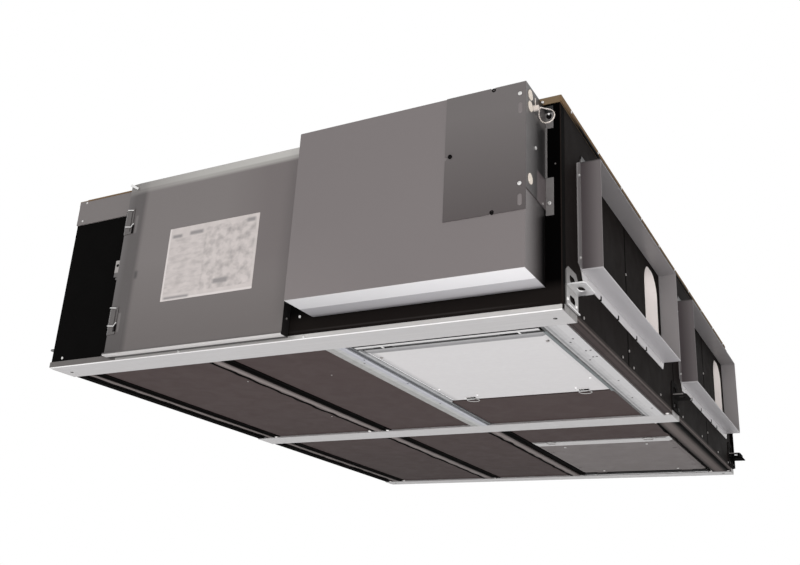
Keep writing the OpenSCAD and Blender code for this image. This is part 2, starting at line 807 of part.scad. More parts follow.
// The cable tie that hangs by its head from the box's right side
module cable_tie() {
    head_x = box_right + sheet_t;
    middle = [head_x + tie_r + tie_strap_r, wall_front_y - tie_out, box_top - tie_drop];
    color([0.85, 0.82, 0.79]) {
        translate(middle) rotate([90, 0, 0])
            rotate_extrude() translate([tie_r, 0]) circle(tie_strap_r, $fn = 16);
        translate([head_x, middle.y - tie_head_w / 2, middle.z]) cube([tie_head_w, tie_head_w, tie_head_l]);
    }
}

// The front cover's section in Y and Z, with its rounded top edge
module cover_section() {
    front = front_y - cover_d;
    translate([front, cover_z]) square([cover_d, cover_h - cover_round]);
    translate([front + cover_round, cover_z]) square([cover_d - cover_round, cover_h]);
    translate([front + cover_round, cover_z + cover_h - cover_round]) circle(cover_round);
}

// The lift-off front cover, a shallow tray with its left edge bent back and a hem along its foot
module front_cover() {
    bend_x = cover_x + cover_bend_w;
    front = front_y - cover_d;
    color(warm_grey) {
        intersection() {
            translate([0, 0, cover_z]) linear_extrude(cover_h) polygon([
                [cover_x, front_y], [cover_x, front + cover_bend_d], [bend_x, front], [cover_right, front],
                [cover_right, front_y]
            ]);
            along_x(cover_x, cover_right) cover_section();
        }
        along_x(cover_x, cover_right)
            translate([front + cover_hem_r - cover_hem_out, cover_z + cover_hem_r]) circle(cover_hem_r);
    }
}

// The latches that hold the front cover's left edge: a slotted plate and a wire loop each, and the middle tab
module front_cover_latches() {
    bend = atan2(cover_bend_d, cover_bend_w);
    corner = [cover_x, front_y - cover_d + cover_bend_d, cover_z];
    color("silver") {
        for (z = [latch_upper_z, latch_lower_z]) translate([0, 0, z]) {
            translate([cover_x, front_y - cover_d / 2, cover_z]) {
                translate([-latch_out, 0, 0]) cylinder(r = latch_wire_r, h = latch_l);
                for (h = [latch_wire_r, latch_l - latch_wire_r]) translate([0, 0, h])
                    rotate([0, -90, 0]) cylinder(r = latch_wire_r, h = latch_out);
            }
            translate(corner) rotate([0, 0, -bend]) difference() {
                block([0, -latch_plate_t, -latch_plate_drop], [latch_plate_w, 0, latch_l]);
                block([latch_slot_in, -latch_plate_t - over, -latch_plate_drop + latch_slot_w],
                      [latch_slot_in + latch_slot_w, over, latch_l - latch_slot_w]);
            }
        }
        translate([cover_x, front_y - cover_d / 2, cover_z + tab_z]) difference() {
            block([-tab_w, 0, 0], [0, sheet_t, tab_h]);
            translate([-tab_w / 2, 0, tab_h * 2 / 3]) rotate([90, 0, 0])
                cylinder(r = tab_hole_r, h = 3 * sheet_t, center = true);
        }
    }
}

// The grey strip on the wall left of the front cover, which laps over the top panel's edge
module front_top_strip() {
    low = wall_top - top_strip_h;
    high = casing_h - top_strip_drop;
    lap_y = front_y - sheet_t;
    color(warm_grey) along_x(-half_w, cover_x) polygon([
        [lap_y, low], [wall_front_y, low], [wall_front_y, wall_top],
        [front_y, wall_top], [front_y, high], [lap_y, high]
    ]);
}

// A hanging bracket on the right wall: a wall plate with cut corners, a slotted tongue and a lip at its foot
module hanger(y) {
    half = hanger_w / 2;
    top = hanger_z + hanger_h;
    translate([half_w, y, 0]) difference() {
        union() {
            along_x(0, hanger_t) polygon([
                [-half, hanger_z], [half, hanger_z], [half, top - hanger_cut], [half - hanger_cut, top],
                [-half + hanger_cut, top], [-half, top - hanger_cut]
            ]);
            block([0, -half, tongue_z], [tongue_l - tongue_r, half, tongue_z + hanger_t]);
            block([0, -half + tongue_r, tongue_z], [tongue_l, half - tongue_r, tongue_z + hanger_t]);
            for (corner = [-half + tongue_r, half - tongue_r])
                translate([tongue_l - tongue_r, corner, tongue_z]) cylinder(r = tongue_r, h = hanger_t);
            block([0, -half, hanger_z], [hanger_lip, half, hanger_z + hanger_t]);
        }
        translate([slot_out, 0, tongue_z + hanger_t / 2]) slot(slot_l, slot_w, 3 * hanger_t);
        for (z = [hanger_z + tongue_rise / 2, tongue_z + (hanger_h - tongue_rise) / 2])
            translate([hanger_t / 2, 0, z]) rotate([0, 90, 0]) slot(plate_slot_l, slot_w, 3 * hanger_t);
    }
}

module hanging_brackets() {
    color(zinc) for (side = [0, 1]) mirror([side, 0, 0])
        for (y = [front_y + hanger_end, split_y, rear_y - hanger_end]) hanger(y);
}

front_rail();
mid_rail();
rear_rail();
front_wall();
rear_wall();
right_wall_front();
right_wall_front_port();
right_wall_rear();
right_wall_rear_port();
left_wall_front();
left_wall_front_port();
left_wall_rear();
left_wall_rear_port();
top_panels();
floor_front_left();
floor_front_centre();
floor_front_right();
floor_rear_left();
floor_rear_centre();
floor_rear_right();
seam_gaskets();
seam_strips();
right_sill();
door_frame();
hinge_rods();
front_door();
front_door_rings();
rear_door();
rear_door_latch_strip();
rear_door_rings();
right_collar_front();
right_collar_rear();
left_collar_front();
left_collar_rear();
duct_liners();
control_box_body();
control_box_cover();
control_box_access_cover();
control_box_ears();
knockout_plugs();
cable_tie();
front_cover();
front_cover_latches();
front_top_strip();
hanging_brackets();
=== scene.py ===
"""Ceiling air handling unit: finishes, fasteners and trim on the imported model, on a pale stage in soft light.

Metres, in the model's own frame: +X right, +Y back, +Z up, with the origin under the middle of the rails.
"""
import math
import bpy
from mathutils import Matrix, Vector


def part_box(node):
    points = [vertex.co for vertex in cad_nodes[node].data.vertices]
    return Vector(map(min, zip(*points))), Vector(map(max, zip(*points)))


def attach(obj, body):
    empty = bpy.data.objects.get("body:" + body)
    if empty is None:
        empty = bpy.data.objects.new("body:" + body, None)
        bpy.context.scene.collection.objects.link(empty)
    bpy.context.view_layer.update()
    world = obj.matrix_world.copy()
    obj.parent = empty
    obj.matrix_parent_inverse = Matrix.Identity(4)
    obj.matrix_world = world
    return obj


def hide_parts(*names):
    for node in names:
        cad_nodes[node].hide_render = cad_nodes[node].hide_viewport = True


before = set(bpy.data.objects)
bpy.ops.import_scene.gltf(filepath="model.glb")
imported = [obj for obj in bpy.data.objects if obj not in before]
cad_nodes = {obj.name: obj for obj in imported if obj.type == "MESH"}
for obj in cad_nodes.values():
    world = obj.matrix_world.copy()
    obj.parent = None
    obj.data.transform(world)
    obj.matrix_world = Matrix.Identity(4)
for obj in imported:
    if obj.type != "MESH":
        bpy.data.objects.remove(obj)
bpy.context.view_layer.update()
scene = bpy.context.scene
scene.view_settings.view_transform = "Standard"

# Camera
# The unit hangs from a ceiling and is looked up at from below its front right corner.
# The lens and place were found by fitting the casing's corners to the photograph.
camera = bpy.data.cameras.new("camera")
camera.lens = 41.864
camera.sensor_width = 36.0
camera_holder = bpy.data.objects.new("camera", camera)
camera_holder.location = (1.3036, -2.6993, -0.6376)
camera_holder.rotation_euler = [math.radians(angle) for angle in (110.897, -3.002, 27.972)]
scene.collection.objects.link(camera_holder)
scene.camera = camera_holder

# Stage and light
# A white room: the world is white to the eye and to reflections, and gives a softer fill light.
# A pale floor lies well below the unit, which broad soft lamps light from the floor, the front and the right.
FILL_LEVEL = 0.47
FLOOR_Z = -1.7
FLOOR_SIZE = 14


def add_node(tree, kind, sockets, **settings):
    """A shader node with its settings, each named socket set to a value or wired to another node's output."""
    made = tree.nodes.new(kind)
    for setting, value in settings.items():
        setattr(made, setting, value)
    for socket, value in sockets.items():
        if isinstance(value, bpy.types.NodeSocket):
            tree.links.new(value, made.inputs[socket])
        else:
            made.inputs[socket].default_value = value
    return made


def seen_by_eye(tree):
    """1 for camera, glossy and transmission rays, and 0 for the rays that light the object."""
    path = tree.nodes.new("ShaderNodeLightPath")
    camera_or_glossy = add_node(tree, "ShaderNodeMath", {
        0: path.outputs["Is Camera Ray"], 1: path.outputs["Is Glossy Ray"]}, operation="MAXIMUM")
    seen = add_node(tree, "ShaderNodeMath", {
        0: camera_or_glossy.outputs[0], 1: path.outputs["Is Transmission Ray"]}, operation="MAXIMUM")
    return seen.outputs[0]


def deselect():
    """Leaves nothing selected, so that the next operator acts on the new piece alone."""
    bpy.ops.object.select_all(action="DESELECT")


def place_in_mesh():
    """Puts the selected object's place, turn and scale into its mesh."""
    bpy.ops.object.transform_apply(location=True, rotation=True, scale=True)


world = bpy.data.worlds.new("white_room")
world.use_nodes = True
background = world.node_tree.nodes["Background"]
background.inputs["Color"].default_value = (1, 1, 1, 1)
level = add_node(world.node_tree, "ShaderNodeMath", {
    0: seen_by_eye(world.node_tree), 1: 1 - FILL_LEVEL, 2: FILL_LEVEL}, operation="MULTIPLY_ADD")
world.node_tree.links.new(level.outputs[0], background.inputs["Strength"])
scene.world = world

deselect()
bpy.ops.mesh.primitive_plane_add(size=FLOOR_SIZE, location=(0, 0, FLOOR_Z))
place_in_mesh()
floor = bpy.context.object
floor.name = "floor"
floor_paint = bpy.data.materials.new("floor_paint")
floor_paint.use_nodes = True
floor_tree = floor_paint.node_tree
floor_tree.nodes.remove(floor_tree.nodes["Principled BSDF"])
glow = add_node(floor_tree, "ShaderNodeMath", {0: seen_by_eye(floor_tree), 1: 0.5}, operation="MULTIPLY")
matt = add_node(floor_tree, "ShaderNodeBsdfDiffuse", {"Color": (0.85, 0.85, 0.85, 1)})
lift = add_node(floor_tree, "ShaderNodeEmission", {"Strength": glow.outputs[0]})
face = add_node(floor_tree, "ShaderNodeAddShader", {0: matt.outputs[0], 1: lift.outputs[0]})
clear = add_node(floor_tree, "ShaderNodeBsdfTransparent", {})
side = floor_tree.nodes.new("ShaderNodeNewGeometry")
one_sided = add_node(floor_tree, "ShaderNodeMixShader", {
    0: side.outputs["Backfacing"], 1: face.outputs[0], 2: clear.outputs[0]})
floor_tree.links.new(one_sided.outputs[0], floor_tree.nodes["Material Output"].inputs["Surface"])
floor.data.materials.append(floor_paint)


def soft_lamp(name, place, target, size, watts, colour):
    """A broad area lamp aimed at a point, which lights the object but isn't seen in it."""
    lamp = bpy.data.lights.new(name, "AREA")
    lamp.shape = "RECTANGLE"
    lamp.size, lamp.size_y = size
    lamp.energy = watts
    lamp.color = colour
    holder = bpy.data.objects.new(name, lamp)
    holder.location = place
    holder.rotation_euler = (Vector(target) - Vector(place)).to_track_quat("-Z", "Y").to_euler()
    holder.visible_camera = False
    holder.visible_glossy = False
    scene.collection.objects.link(holder)


COOL_WHITE = (0.97, 0.97, 1.0)
WARM_WHITE = (1.0, 0.98, 0.97)
soft_lamp("floor_lamp", (0.3, -0.6, FLOOR_Z + 0.1), (0.3, -0.4, 0), (3.6, 3.6), watts=62, colour=COOL_WHITE)
soft_lamp("front_lamp", (-0.6, -4.6, 1.2), (0, -1, 0.25), (2.6, 2.0), watts=16, colour=WARM_WHITE)
soft_lamp("right_lamp", (2.6, -4.2, 0.0), (0.7, 0, 0.25), (1.6, 1.6), watts=77, colour=WARM_WHITE)

# Rails
# Three rails of folded galvanised sheet carry the casing from below. Each has a hem along its edges and an
# end flange turned up against the side wall. A grey band covers the front rail's flange at the left.


def finish_group(name, values):
    """An empty shader group: a colour and values go in, and colour, roughness and height come out."""
    group = bpy.data.node_groups.new(name, "ShaderNodeTree")
    for way, floats in (("INPUT", values), ("OUTPUT", ("Roughness", "Height"))):
        group.interface.new_socket("Color", in_out=way, socket_type="NodeSocketColor")
        for socket in floats:
            group.interface.new_socket(socket, in_out=way, socket_type="NodeSocketFloat")
    return group, group.nodes.new("NodeGroupInput").outputs, group.nodes.new("NodeGroupOutput").inputs


def noise(tree, place, scale, detail, distortion=0.0):
    """The value of a noise texture, from 0 to 1."""
    return add_node(tree, "ShaderNodeTexNoise", {
        "Vector": place, "Scale": scale, "Detail": detail, "Distortion": distortion}).outputs["Fac"]


def swing(tree, value, amount, middle=1.0):
    """A value that runs from 0 to 1, turned into a swing of that amount about a middle."""
    centred = add_node(tree, "ShaderNodeMath", {0: value, 1: 0.5}, operation="SUBTRACT")
    return add_node(tree, "ShaderNodeMath", {
        0: centred.outputs[0], 1: amount, 2: middle}, operation="MULTIPLY_ADD").outputs[0]


def close_group(group, inputs, outputs, tones, roughness, height):
    """Wires a finish group's outputs: its colour under two tones, its roughness and its height."""
    tone = add_node(group, "ShaderNodeMath", {0: tones[0], 1: tones[1]}, operation="MULTIPLY")
    colour = add_node(group, "ShaderNodeVectorMath", {
        0: inputs["Color"], "Scale": tone.outputs[0]}, operation="SCALE")
    group.links.new(colour.outputs[0], outputs["Color"])
    group.links.new(roughness, outputs["Roughness"])
    group.links.new(height, outputs["Height"])
    return group


def build_zinc_group():
    """Hot-dipped zinc: crystals of slightly different tone, faint rolling streaks and a fine grain."""
    group, inputs, outputs = finish_group("zinc_sheet", ("Spangle", "Streak", "Rough"))
    place = group.nodes.new("ShaderNodeTexCoord").outputs["Object"]
    crystals = add_node(group, "ShaderNodeTexVoronoi", {"Vector": place, "Scale": 85.0})
    crystal_tone = add_node(group, "ShaderNodeSeparateColor", {0: crystals.outputs["Color"]}).outputs["Red"]
    rolled = add_node(group, "ShaderNodeMapping", {"Vector": place, "Scale": (4.0, 150.0, 150.0)})
    streaks = noise(group, rolled.outputs[0], scale=1.0, detail=3.0)
    tones = (swing(group, crystal_tone, inputs["Spangle"]), swing(group, streaks, inputs["Streak"]))
    roughness = swing(group, crystal_tone, amount=0.16, middle=inputs["Rough"])
    grain = noise(group, place, scale=420.0, detail=2.0)
    return close_group(group, inputs, outputs, tones, roughness, grain)


def finish_material(name, group, sockets, bump, **shader_values):
    """A material with a finish group's colour, roughness and bump wired to its shader."""
    material = bpy.data.materials.new(name)
    material.use_nodes = True
    tree = material.node_tree
    shader = tree.nodes["Principled BSDF"]
    for socket, value in shader_values.items():
        shader.inputs[socket.replace("_", " ")].default_value = value
    finish = tree.nodes.new("ShaderNodeGroup")
    finish.node_tree = group
    for socket, value in sockets.items():
        finish.inputs[socket].default_value = value
    relief = add_node(tree, "ShaderNodeBump", {
        "Strength": 0.4, "Distance": bump, "Height": finish.outputs["Height"]})
    tree.links.new(finish.outputs["Color"], shader.inputs["Base Color"])
    tree.links.new(finish.outputs["Roughness"], shader.inputs["Roughness"])
    tree.links.new(relief.outputs[0], shader.inputs["Normal"])
    return material


def zinc_finish(name, colour, spangle, streak, rough, bump=0.0002, **shader_values):
    """Zinc-coated sheet in one colour."""
    return finish_material(name, zinc_group, {
        "Color": (*colour, 1), "Spangle": spangle, "Streak": streak, "Rough": rough}, bump, **shader_values)


def build_place_group():
    """A mask that is 1 inside a box of the object's own coordinates, with a soft edge along each axis."""
    group = bpy.data.node_groups.new("place_mask", "ShaderNodeTree")
    for socket in ("Low", "High", "Soft"):
        group.interface.new_socket(socket, in_out="INPUT", socket_type="NodeSocketVector")
    group.interface.new_socket("Mask", in_out="OUTPUT", socket_type="NodeSocketFloat")
    inputs = group.nodes.new("NodeGroupInput").outputs
    outputs = group.nodes.new("NodeGroupOutput")
    place = group.nodes.new("ShaderNodeTexCoord").outputs["Object"]
    both = None
    for ends in ((place, inputs["Low"]), (inputs["High"], place)):
        inside = add_node(group, "ShaderNodeVectorMath", {0: ends[0], 1: ends[1]}, operation="SUBTRACT")
        eased = add_node(group, "ShaderNodeVectorMath", {
            0: inside.outputs[0], 1: inputs["Soft"]}, operation="DIVIDE")
        capped = add_node(group, "ShaderNodeVectorMath", {
            0: eased.outputs[0], 1: (1, 1, 1)}, operation="MINIMUM")
        mask = add_node(group, "ShaderNodeVectorMath", {
            0: capped.outputs[0], 1: (0, 0, 0)}, operation="MAXIMUM")
        both = mask if both is None else add_node(
            group, "ShaderNodeVectorMath", {0: both.outputs[0], 1: mask.outputs[0]}, operation="MULTIPLY")
    parts = add_node(group, "ShaderNodeSeparateXYZ", {0: both.outputs[0]}).outputs
    flat = add_node(group, "ShaderNodeMath", {0: parts["X"], 1: parts["Y"]}, operation="MULTIPLY")
    whole = add_node(group, "ShaderNodeMath", {0: flat.outputs[0], 1: parts["Z"]}, operation="MULTIPLY")
    group.links.new(whole.outputs[0], outputs.inputs["Mask"])
    return group


FAR = 9.0
CRISP = 0.0003


def place_mask(tree, x, y, z, soft):
    """The mask of a box of places, from its range along each axis."""
    where = add_node(tree, "ShaderNodeGroup", {}, node_tree=place_group)
    where.inputs["Low"].default_value = (x[0], y[0], z[0])
    where.inputs["High"].default_value = (x[1], y[1], z[1])
    where.inputs["Soft"].default_value = soft
    return where.outputs["Mask"]


def colour_over(tree, mask, colour):
    """Lays a colour over a material's own where a mask is 1."""
    shader = tree.nodes["Principled BSDF"]
    before = shader.inputs["Base Color"].links[0].from_socket
    mixed = add_node(tree, "ShaderNodeMix", {"Factor": mask, 6: before, 7: (*colour, 1)}, data_type="RGBA")
    tree.links.new(mixed.outputs[2], shader.inputs["Base Color"])


def tint(material, colour, x=(-FAR, FAR), y=(-FAR, FAR), z=(-FAR, FAR),
         soft_x=CRISP, soft_y=CRISP, soft_z=CRISP):
    """Gives a material another colour in a box of places, such as one face of a sheet; returns the mask."""
    mask = place_mask(material.node_tree, x, y, z, (soft_x, soft_y, soft_z))
    colour_over(material.node_tree, mask, colour)
    return mask


def dress(material, names, edge=0.0):
    """Gives CAD nodes a finish, and edges rounded as far as folded or cut sheet is."""
    for name in names:
        piece = cad_nodes[name]
        piece.data.materials.clear()
        piece.data.materials.append(material)
        if edge:
            weld = piece.modifiers.new("weld", "WELD")
            weld.merge_threshold = 0.00002
            bevel = piece.modifiers.new("bevel", "BEVEL")
            bevel.width = edge
            bevel.segments = 2
            bevel.limit_method = "ANGLE"
            bevel.angle_limit = math.radians(40)


zinc_group = build_zinc_group()
place_group = build_place_group()
galvanised = zinc_finish(
    "galvanised", (0.437, 0.425, 0.423), spangle=0.10, streak=0.20, rough=0.40, Metallic=0.55)
FLANGE_FACE = (-0.9910, -0.9878)
# A painted highlight lies along the front rail's lower fold, and the flange face above it is painted lighter as
# painted light.
tint(galvanised, (0.90, 0.89, 0.88), y=FLANGE_FACE, z=(-0.001, 0.0022))
tint(galvanised, (0.53, 0.515, 0.500), y=FLANGE_FACE, z=(0.0024, 0.013), soft_z=0.002)
for rail_end in ((0.7302, FAR), (-FAR, -0.7302)):
    tint(galvanised, (0.22, 0.21, 0.205), x=rail_end)
dress(galvanised, ("front_rail", "mid_rail", "rear_rail"), 0.0007)


def apply_modifier(piece, kind, **settings):
    """Adds a modifier to a piece and applies it."""
    modifier = piece.modifiers.new(kind.lower(), kind)
    for setting, value in settings.items():
        setattr(modifier, setting, value)
    bpy.ops.object.modifier_apply(modifier=modifier.name)


def bar(low, high, edge):
    """A straight bar between two corners with its edges rounded."""
    deselect()
    low, high = Vector(low), Vector(high)
    bpy.ops.mesh.primitive_cube_add(size=1, location=(low + high) / 2)
    piece = bpy.context.object
    piece.scale = high - low
    place_in_mesh()
    apply_modifier(piece, "BEVEL", width=edge, segments=2)
    return piece


def join(pieces):
    """Joins pieces into one and returns it."""
    deselect()
    for piece in pieces:
        piece.select_set(True)
    bpy.context.view_layer.objects.active = pieces[0]
    if len(pieces) > 1:
        bpy.ops.object.join()
    return bpy.context.view_layer.objects.active


def fit(piece, name, material, body="casing"):
    """Names a finished piece, gives it its finish and fixes it to a body."""
    piece.name = name
    piece.data.name = name
    piece.data.materials.clear()
    piece.data.materials.append(material)
    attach(piece, body)


def pick_faces(piece, test):
    """Enters edit mode with the faces selected whose middle and normal pass a test."""
    bpy.ops.object.mode_set(mode="EDIT")
    bpy.ops.mesh.select_mode(type="FACE")
    bpy.ops.mesh.select_all(action="DESELECT")
    bpy.ops.object.mode_set(mode="OBJECT")
    for polygon in piece.data.polygons:
        polygon.select = test(polygon.center, polygon.normal)
    bpy.ops.object.mode_set(mode="EDIT")


def copies_at(master, places, facing):
    """Copies a piece made round +Z to places, turned to face one way, and joins them into one piece."""
    turn = Vector((0, 0, 1)).rotation_difference(Vector(facing)).to_matrix().to_4x4()
    copies = []
    for place in places:
        copy = master.copy()
        copy.data = master.data.copy()
        bpy.context.collection.objects.link(copy)
        copy.matrix_world = Matrix.Translation(place) @ turn
        copies.append(copy)
    bpy.data.objects.remove(master)
    joined = join(copies)
    place_in_mesh()
    return joined


def punched_hole(radius):
    """A punched hole with its rim, as a shallow dished disc that faces +Z."""
    deselect()
    bpy.ops.mesh.primitive_cylinder_add(
        vertices=20, radius=radius * 1.25, depth=0.0006, location=(0, 0, 0.0001))
    piece = bpy.context.object
    place_in_mesh()
    pick_faces(piece, lambda middle, normal: normal.z > 0.9)
    bpy.ops.mesh.inset(thickness=radius * 0.25)
    bpy.ops.mesh.extrude_region_move(TRANSFORM_OT_translate={"value": (0, 0, -0.0004)})
    bpy.ops.object.mode_set(mode="OBJECT")
    return piece


def plain_finish(name, colour, roughness, grain, metallic=0.0):
    """A small part's material: one colour, slightly uneven, with a fine grain."""
    material = bpy.data.materials.new(name)
    material.use_nodes = True
    tree = material.node_tree
    shader = tree.nodes["Principled BSDF"]
    shader.inputs["Metallic"].default_value = metallic
    place = tree.nodes.new("ShaderNodeTexCoord").outputs["Object"]
    speckle = noise(tree, place, scale=grain, detail=3.0)
    tinted = add_node(tree, "ShaderNodeVectorMath", {
        0: colour, "Scale": swing(tree, speckle, amount=0.3)}, operation="SCALE")
    tree.links.new(tinted.outputs[0], shader.inputs["Base Color"])
    tree.links.new(swing(tree, speckle, amount=0.2, middle=roughness), shader.inputs["Roughness"])
    return material


def holes(name, facing, radius, places):
    """Punched holes that all face one way, as one piece."""
    fit(copies_at(punched_hole(radius), places, facing), name, hole_black)


hole_black = plain_finish("hole_black", (0.006, 0.0055, 0.0055), roughness=0.8, grain=300.0)
hole_black.node_tree.nodes["Principled BSDF"].inputs["Specular IOR Level"].default_value = 0.02
DOWN = (0, 0, -1)
holes("rail_holes", DOWN, 0.0035,
      [(0.698, -0.939, 0), (-0.698, -0.939, 0), (0.698, 0.958, 0), (-0.698, 0.958, 0)])

rail_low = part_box("front_rail")[0]
foot_band = bar((-0.7315, rail_low.y - 0.0004, 0.0024), (-0.490, rail_low.y + 0.0025, 0.0172), 0.0004)
band_grey = plain_finish("band_grey", (0.13, 0.12, 0.115), roughness=0.5, grain=60.0, metallic=0.3)
fit(foot_band, "front_foot_band", band_grey)

# Walls
# The front, rear and side walls are foam panels faced with black coated sheet, screwed to the rails along
# their foot and to each other at the upright seams. The rear and side walls have a matt brown-black coat.


def build_coat_group():
    """A sprayed or rolled coat: a slow drift of tone, smudges in the gloss and a fine orange peel."""
    group, inputs, outputs = finish_group("coated_sheet", ("Tone", "Rough", "Grain"))
    place = group.nodes.new("ShaderNodeTexCoord").outputs["Object"]
    drift = noise(group, place, scale=3.0, detail=3.0)
    grain = noise(group, place, scale=inputs["Grain"], detail=2.0)
    smudge = noise(group, place, scale=17.0, detail=5.0, distortion=0.8)
    tones = [swing(group, value, inputs["Tone"]) for value in (drift, grain)]
    roughness = swing(group, smudge, amount=0.22, middle=inputs["Rough"])
    return close_group(group, inputs, outputs, tones, roughness, grain)


def coat_finish(name, colour, tone, rough, grain, bump, specular=0.5, metallic=0.0):
    """Painted or coated sheet, foam or rubber in one colour."""
    return finish_material(
        name, coat_group, {"Color": (*colour, 1), "Tone": tone, "Rough": rough, "Grain": grain}, bump,
        Specular_IOR_Level=specular, Metallic=metallic)


coat_group = build_coat_group()
black_foam = coat_finish(
    "black_foam", (0.0035, 0.0033, 0.0032), tone=0.3, rough=0.85, grain=500.0, bump=0.0004, specular=0.02)
# Light and shade on the front wall is painted into its finish: near black beside the control box as painted
# shade, lighter near its foot as painted light from below, and painted highlights on the corner edge and along
# a line above the foot.
tint(black_foam, (0.0007, 0.0006, 0.0006), x=(0.690, 0.7285))
tint(black_foam, (0.010, 0.0082, 0.0075), x=(0.058, FAR), z=(-FAR, 0.068), soft_z=0.025)
tint(black_foam, (0.015, 0.011, 0.0095), x=(0.7285, FAR), y=(-FAR, -0.983), soft_y=0.004)
tint(black_foam, (0.024, 0.021, 0.020), x=(0.0, 0.700), z=(0.0185, 0.0235), soft_x=0.16, soft_z=0.0015)
wall_coat = coat_finish(
    "wall_coat", (0.0080, 0.0062, 0.0057), tone=0.25, rough=0.65, grain=700.0, bump=0.0003, specular=0.02)
# A painted highlight runs along the foot of each side wall.
for highlit_side in ((0.728, FAR), (-FAR, -0.728)):
    tint(wall_coat, (0.034, 0.029, 0.027), x=highlit_side, z=(0.0170, 0.0215), soft_z=0.001)
dress(black_foam, ("front_wall",), 0.001)
dress(wall_coat, ("rear_wall",), 0.001)
SIDE_WALLS = ("wall_front", "wall_front_port", "wall_rear", "wall_rear_port")
dress(wall_coat, [f"{hand}_{wall}" for hand in ("right", "left") for wall in SIDE_WALLS], 0.0012)


def screw_head(radius):
    """A pan-head screw that faces +Z: a domed head with a socket in its crown."""
    deselect()
    height = radius * 0.55
    bpy.ops.mesh.primitive_cylinder_add(
        vertices=14, radius=radius, depth=height, location=(0, 0, height * 0.4))
    piece = bpy.context.object
    place_in_mesh()
    pick_faces(piece, lambda middle, normal: normal.z > 0.9)
    bpy.ops.mesh.inset(thickness=radius * 0.28)
    bpy.ops.transform.translate(value=(0, 0, height * 0.35))
    bpy.ops.mesh.inset(thickness=radius * 0.25)
    bpy.ops.mesh.extrude_region_move(TRANSFORM_OT_translate={"value": (0, 0, -height * 0.5)})
    bpy.ops.object.mode_set(mode="OBJECT")
    return piece


def screws(name, facing, radius, places, material, body="casing"):
    """Screws that all face one way, as one piece."""
    fit(copies_at(screw_head(radius), places, facing), name, material, body)


bright_zinc = plain_finish("bright_zinc", (0.78, 0.77, 0.76), roughness=0.3, grain=200.0, metallic=0.9)
# Shaded zinc is a darker copy of bright zinc, for screws that sit in shade: painted shade.
shaded_zinc = plain_finish("shaded_zinc", (0.42, 0.40, 0.39), roughness=0.4, grain=200.0, metallic=0.9)
HALF_WIDTH = 0.730
WALL_END = 0.988
FLANGE_Y = -0.990
FORWARD = (0, -1, 0)
RIGHT = (1, 0, 0)
FOOT_SCREW_Y = (-0.847, -0.539, -0.438, -0.156, 0.123, 0.409, 0.683, 0.880)
SEAM_SCREWS = (
    (-0.483, 0.263), (-0.477, 0.060), (0.500, 0.263), (0.510, 0.060), (-0.477, 0.440), (0.510, 0.440))
for hand, side_x in (("right", HALF_WIDTH), ("left", -HALF_WIDTH)):
    wall_screws = [(side_x, y, 0.027) for y in FOOT_SCREW_Y] + [(side_x, y, z) for y, z in SEAM_SCREWS]
    screws(f"{hand}_wall_screws", (side_x, 0, 0), 0.0034, wall_screws, shaded_zinc)
rear_screw_x = [-0.69 + 0.23 * step for step in range(7)]
screws("rear_wall_screws", (0, 1, 0), 0.0042,
       [(x, WALL_END, z) for z in (0.030, 0.460) for x in rear_screw_x], bright_zinc)
screws("front_wall_screws", FORWARD, 0.0036,
       [(-0.689, -WALL_END, 0.026), (0.0856, -WALL_END, 0.0575)], bright_zinc)
screws("flange_screws", FORWARD, 0.0036,
       [(0.1025, FLANGE_Y, 0.0050), (-0.275, FLANGE_Y, 0.0060)], bright_zinc)
screws("corner_pins", FORWARD, 0.0018, [(0.7175, -WALL_END, 0.336)], band_grey)
WALL_SEAMS = (-0.482, 0.021, 0.505)
wall_seams = join([bar((x - 0.0004, y - 0.0032, 0.008), (x + 0.0004, y + 0.0032, 0.486), 0.0003)
                   for x in (HALF_WIDTH, -HALF_WIDTH) for y in WALL_SEAMS])
rubber = coat_finish(
    "rubber", (0.0018, 0.0016, 0.0015), tone=0.25, rough=0.7, grain=400.0, bump=0.0003, specular=0.004)
fit(wall_seams, "wall_seams", rubber)

# Floor panels and seams
# The underside is closed by foam panels faced with matt brown sheet. The seams between them hold a black
# rubber bead, a pressed cover strip and foam that swells out along the strip in a wavy edge.
panel_brown = coat_finish(
    "panel_brown", (0.043, 0.0300, 0.0285), tone=0.16, rough=0.72, grain=900.0, bump=0.0002, specular=0.12)
strip_brown = coat_finish(
    "strip_brown", (0.062, 0.049, 0.046), tone=0.2, rough=0.6, grain=700.0, bump=0.0002, specular=0.2)
COLUMNS = ("left", "centre", "right")
dress(panel_brown, [f"floor_{bay}_{column}" for bay in ("front", "rear") for column in COLUMNS], 0.001)
# A painted highlight runs along the crown of each cover strip.
for bright_x, span in ((-0.691, 0.020), (-0.254, 0.030), (0.122, 0.030)):
    tint(strip_brown, (0.175, 0.148, 0.140), x=(bright_x, bright_x + span), soft_x=0.014)
dress(strip_brown, ("seam_strips",), 0.0008)
dress(rubber, ("seam_gaskets",))
sill_brown = panel_brown.copy()
sill_brown.name = "sill_brown"
tint(sill_brown, (0.038, 0.0285, 0.0270), x=(-FAR, HALF_WIDTH))
# The sill's outer side is painted darker as painted shade, with a painted highlight band along it.
tint(sill_brown, (0.024, 0.0180, 0.0165), x=(HALF_WIDTH, FAR))
tint(sill_brown, (0.100, 0.080, 0.075), x=(HALF_WIDTH, FAR), z=(0.0050, 0.0120), soft_z=0.0014)
tint(sill_brown, (0.014, 0.012, 0.012), x=(0.7135, 0.7172), z=(-FAR, 0.0062), soft_x=0.001)
dress(sill_brown, ("right_sill",), 0.0007)

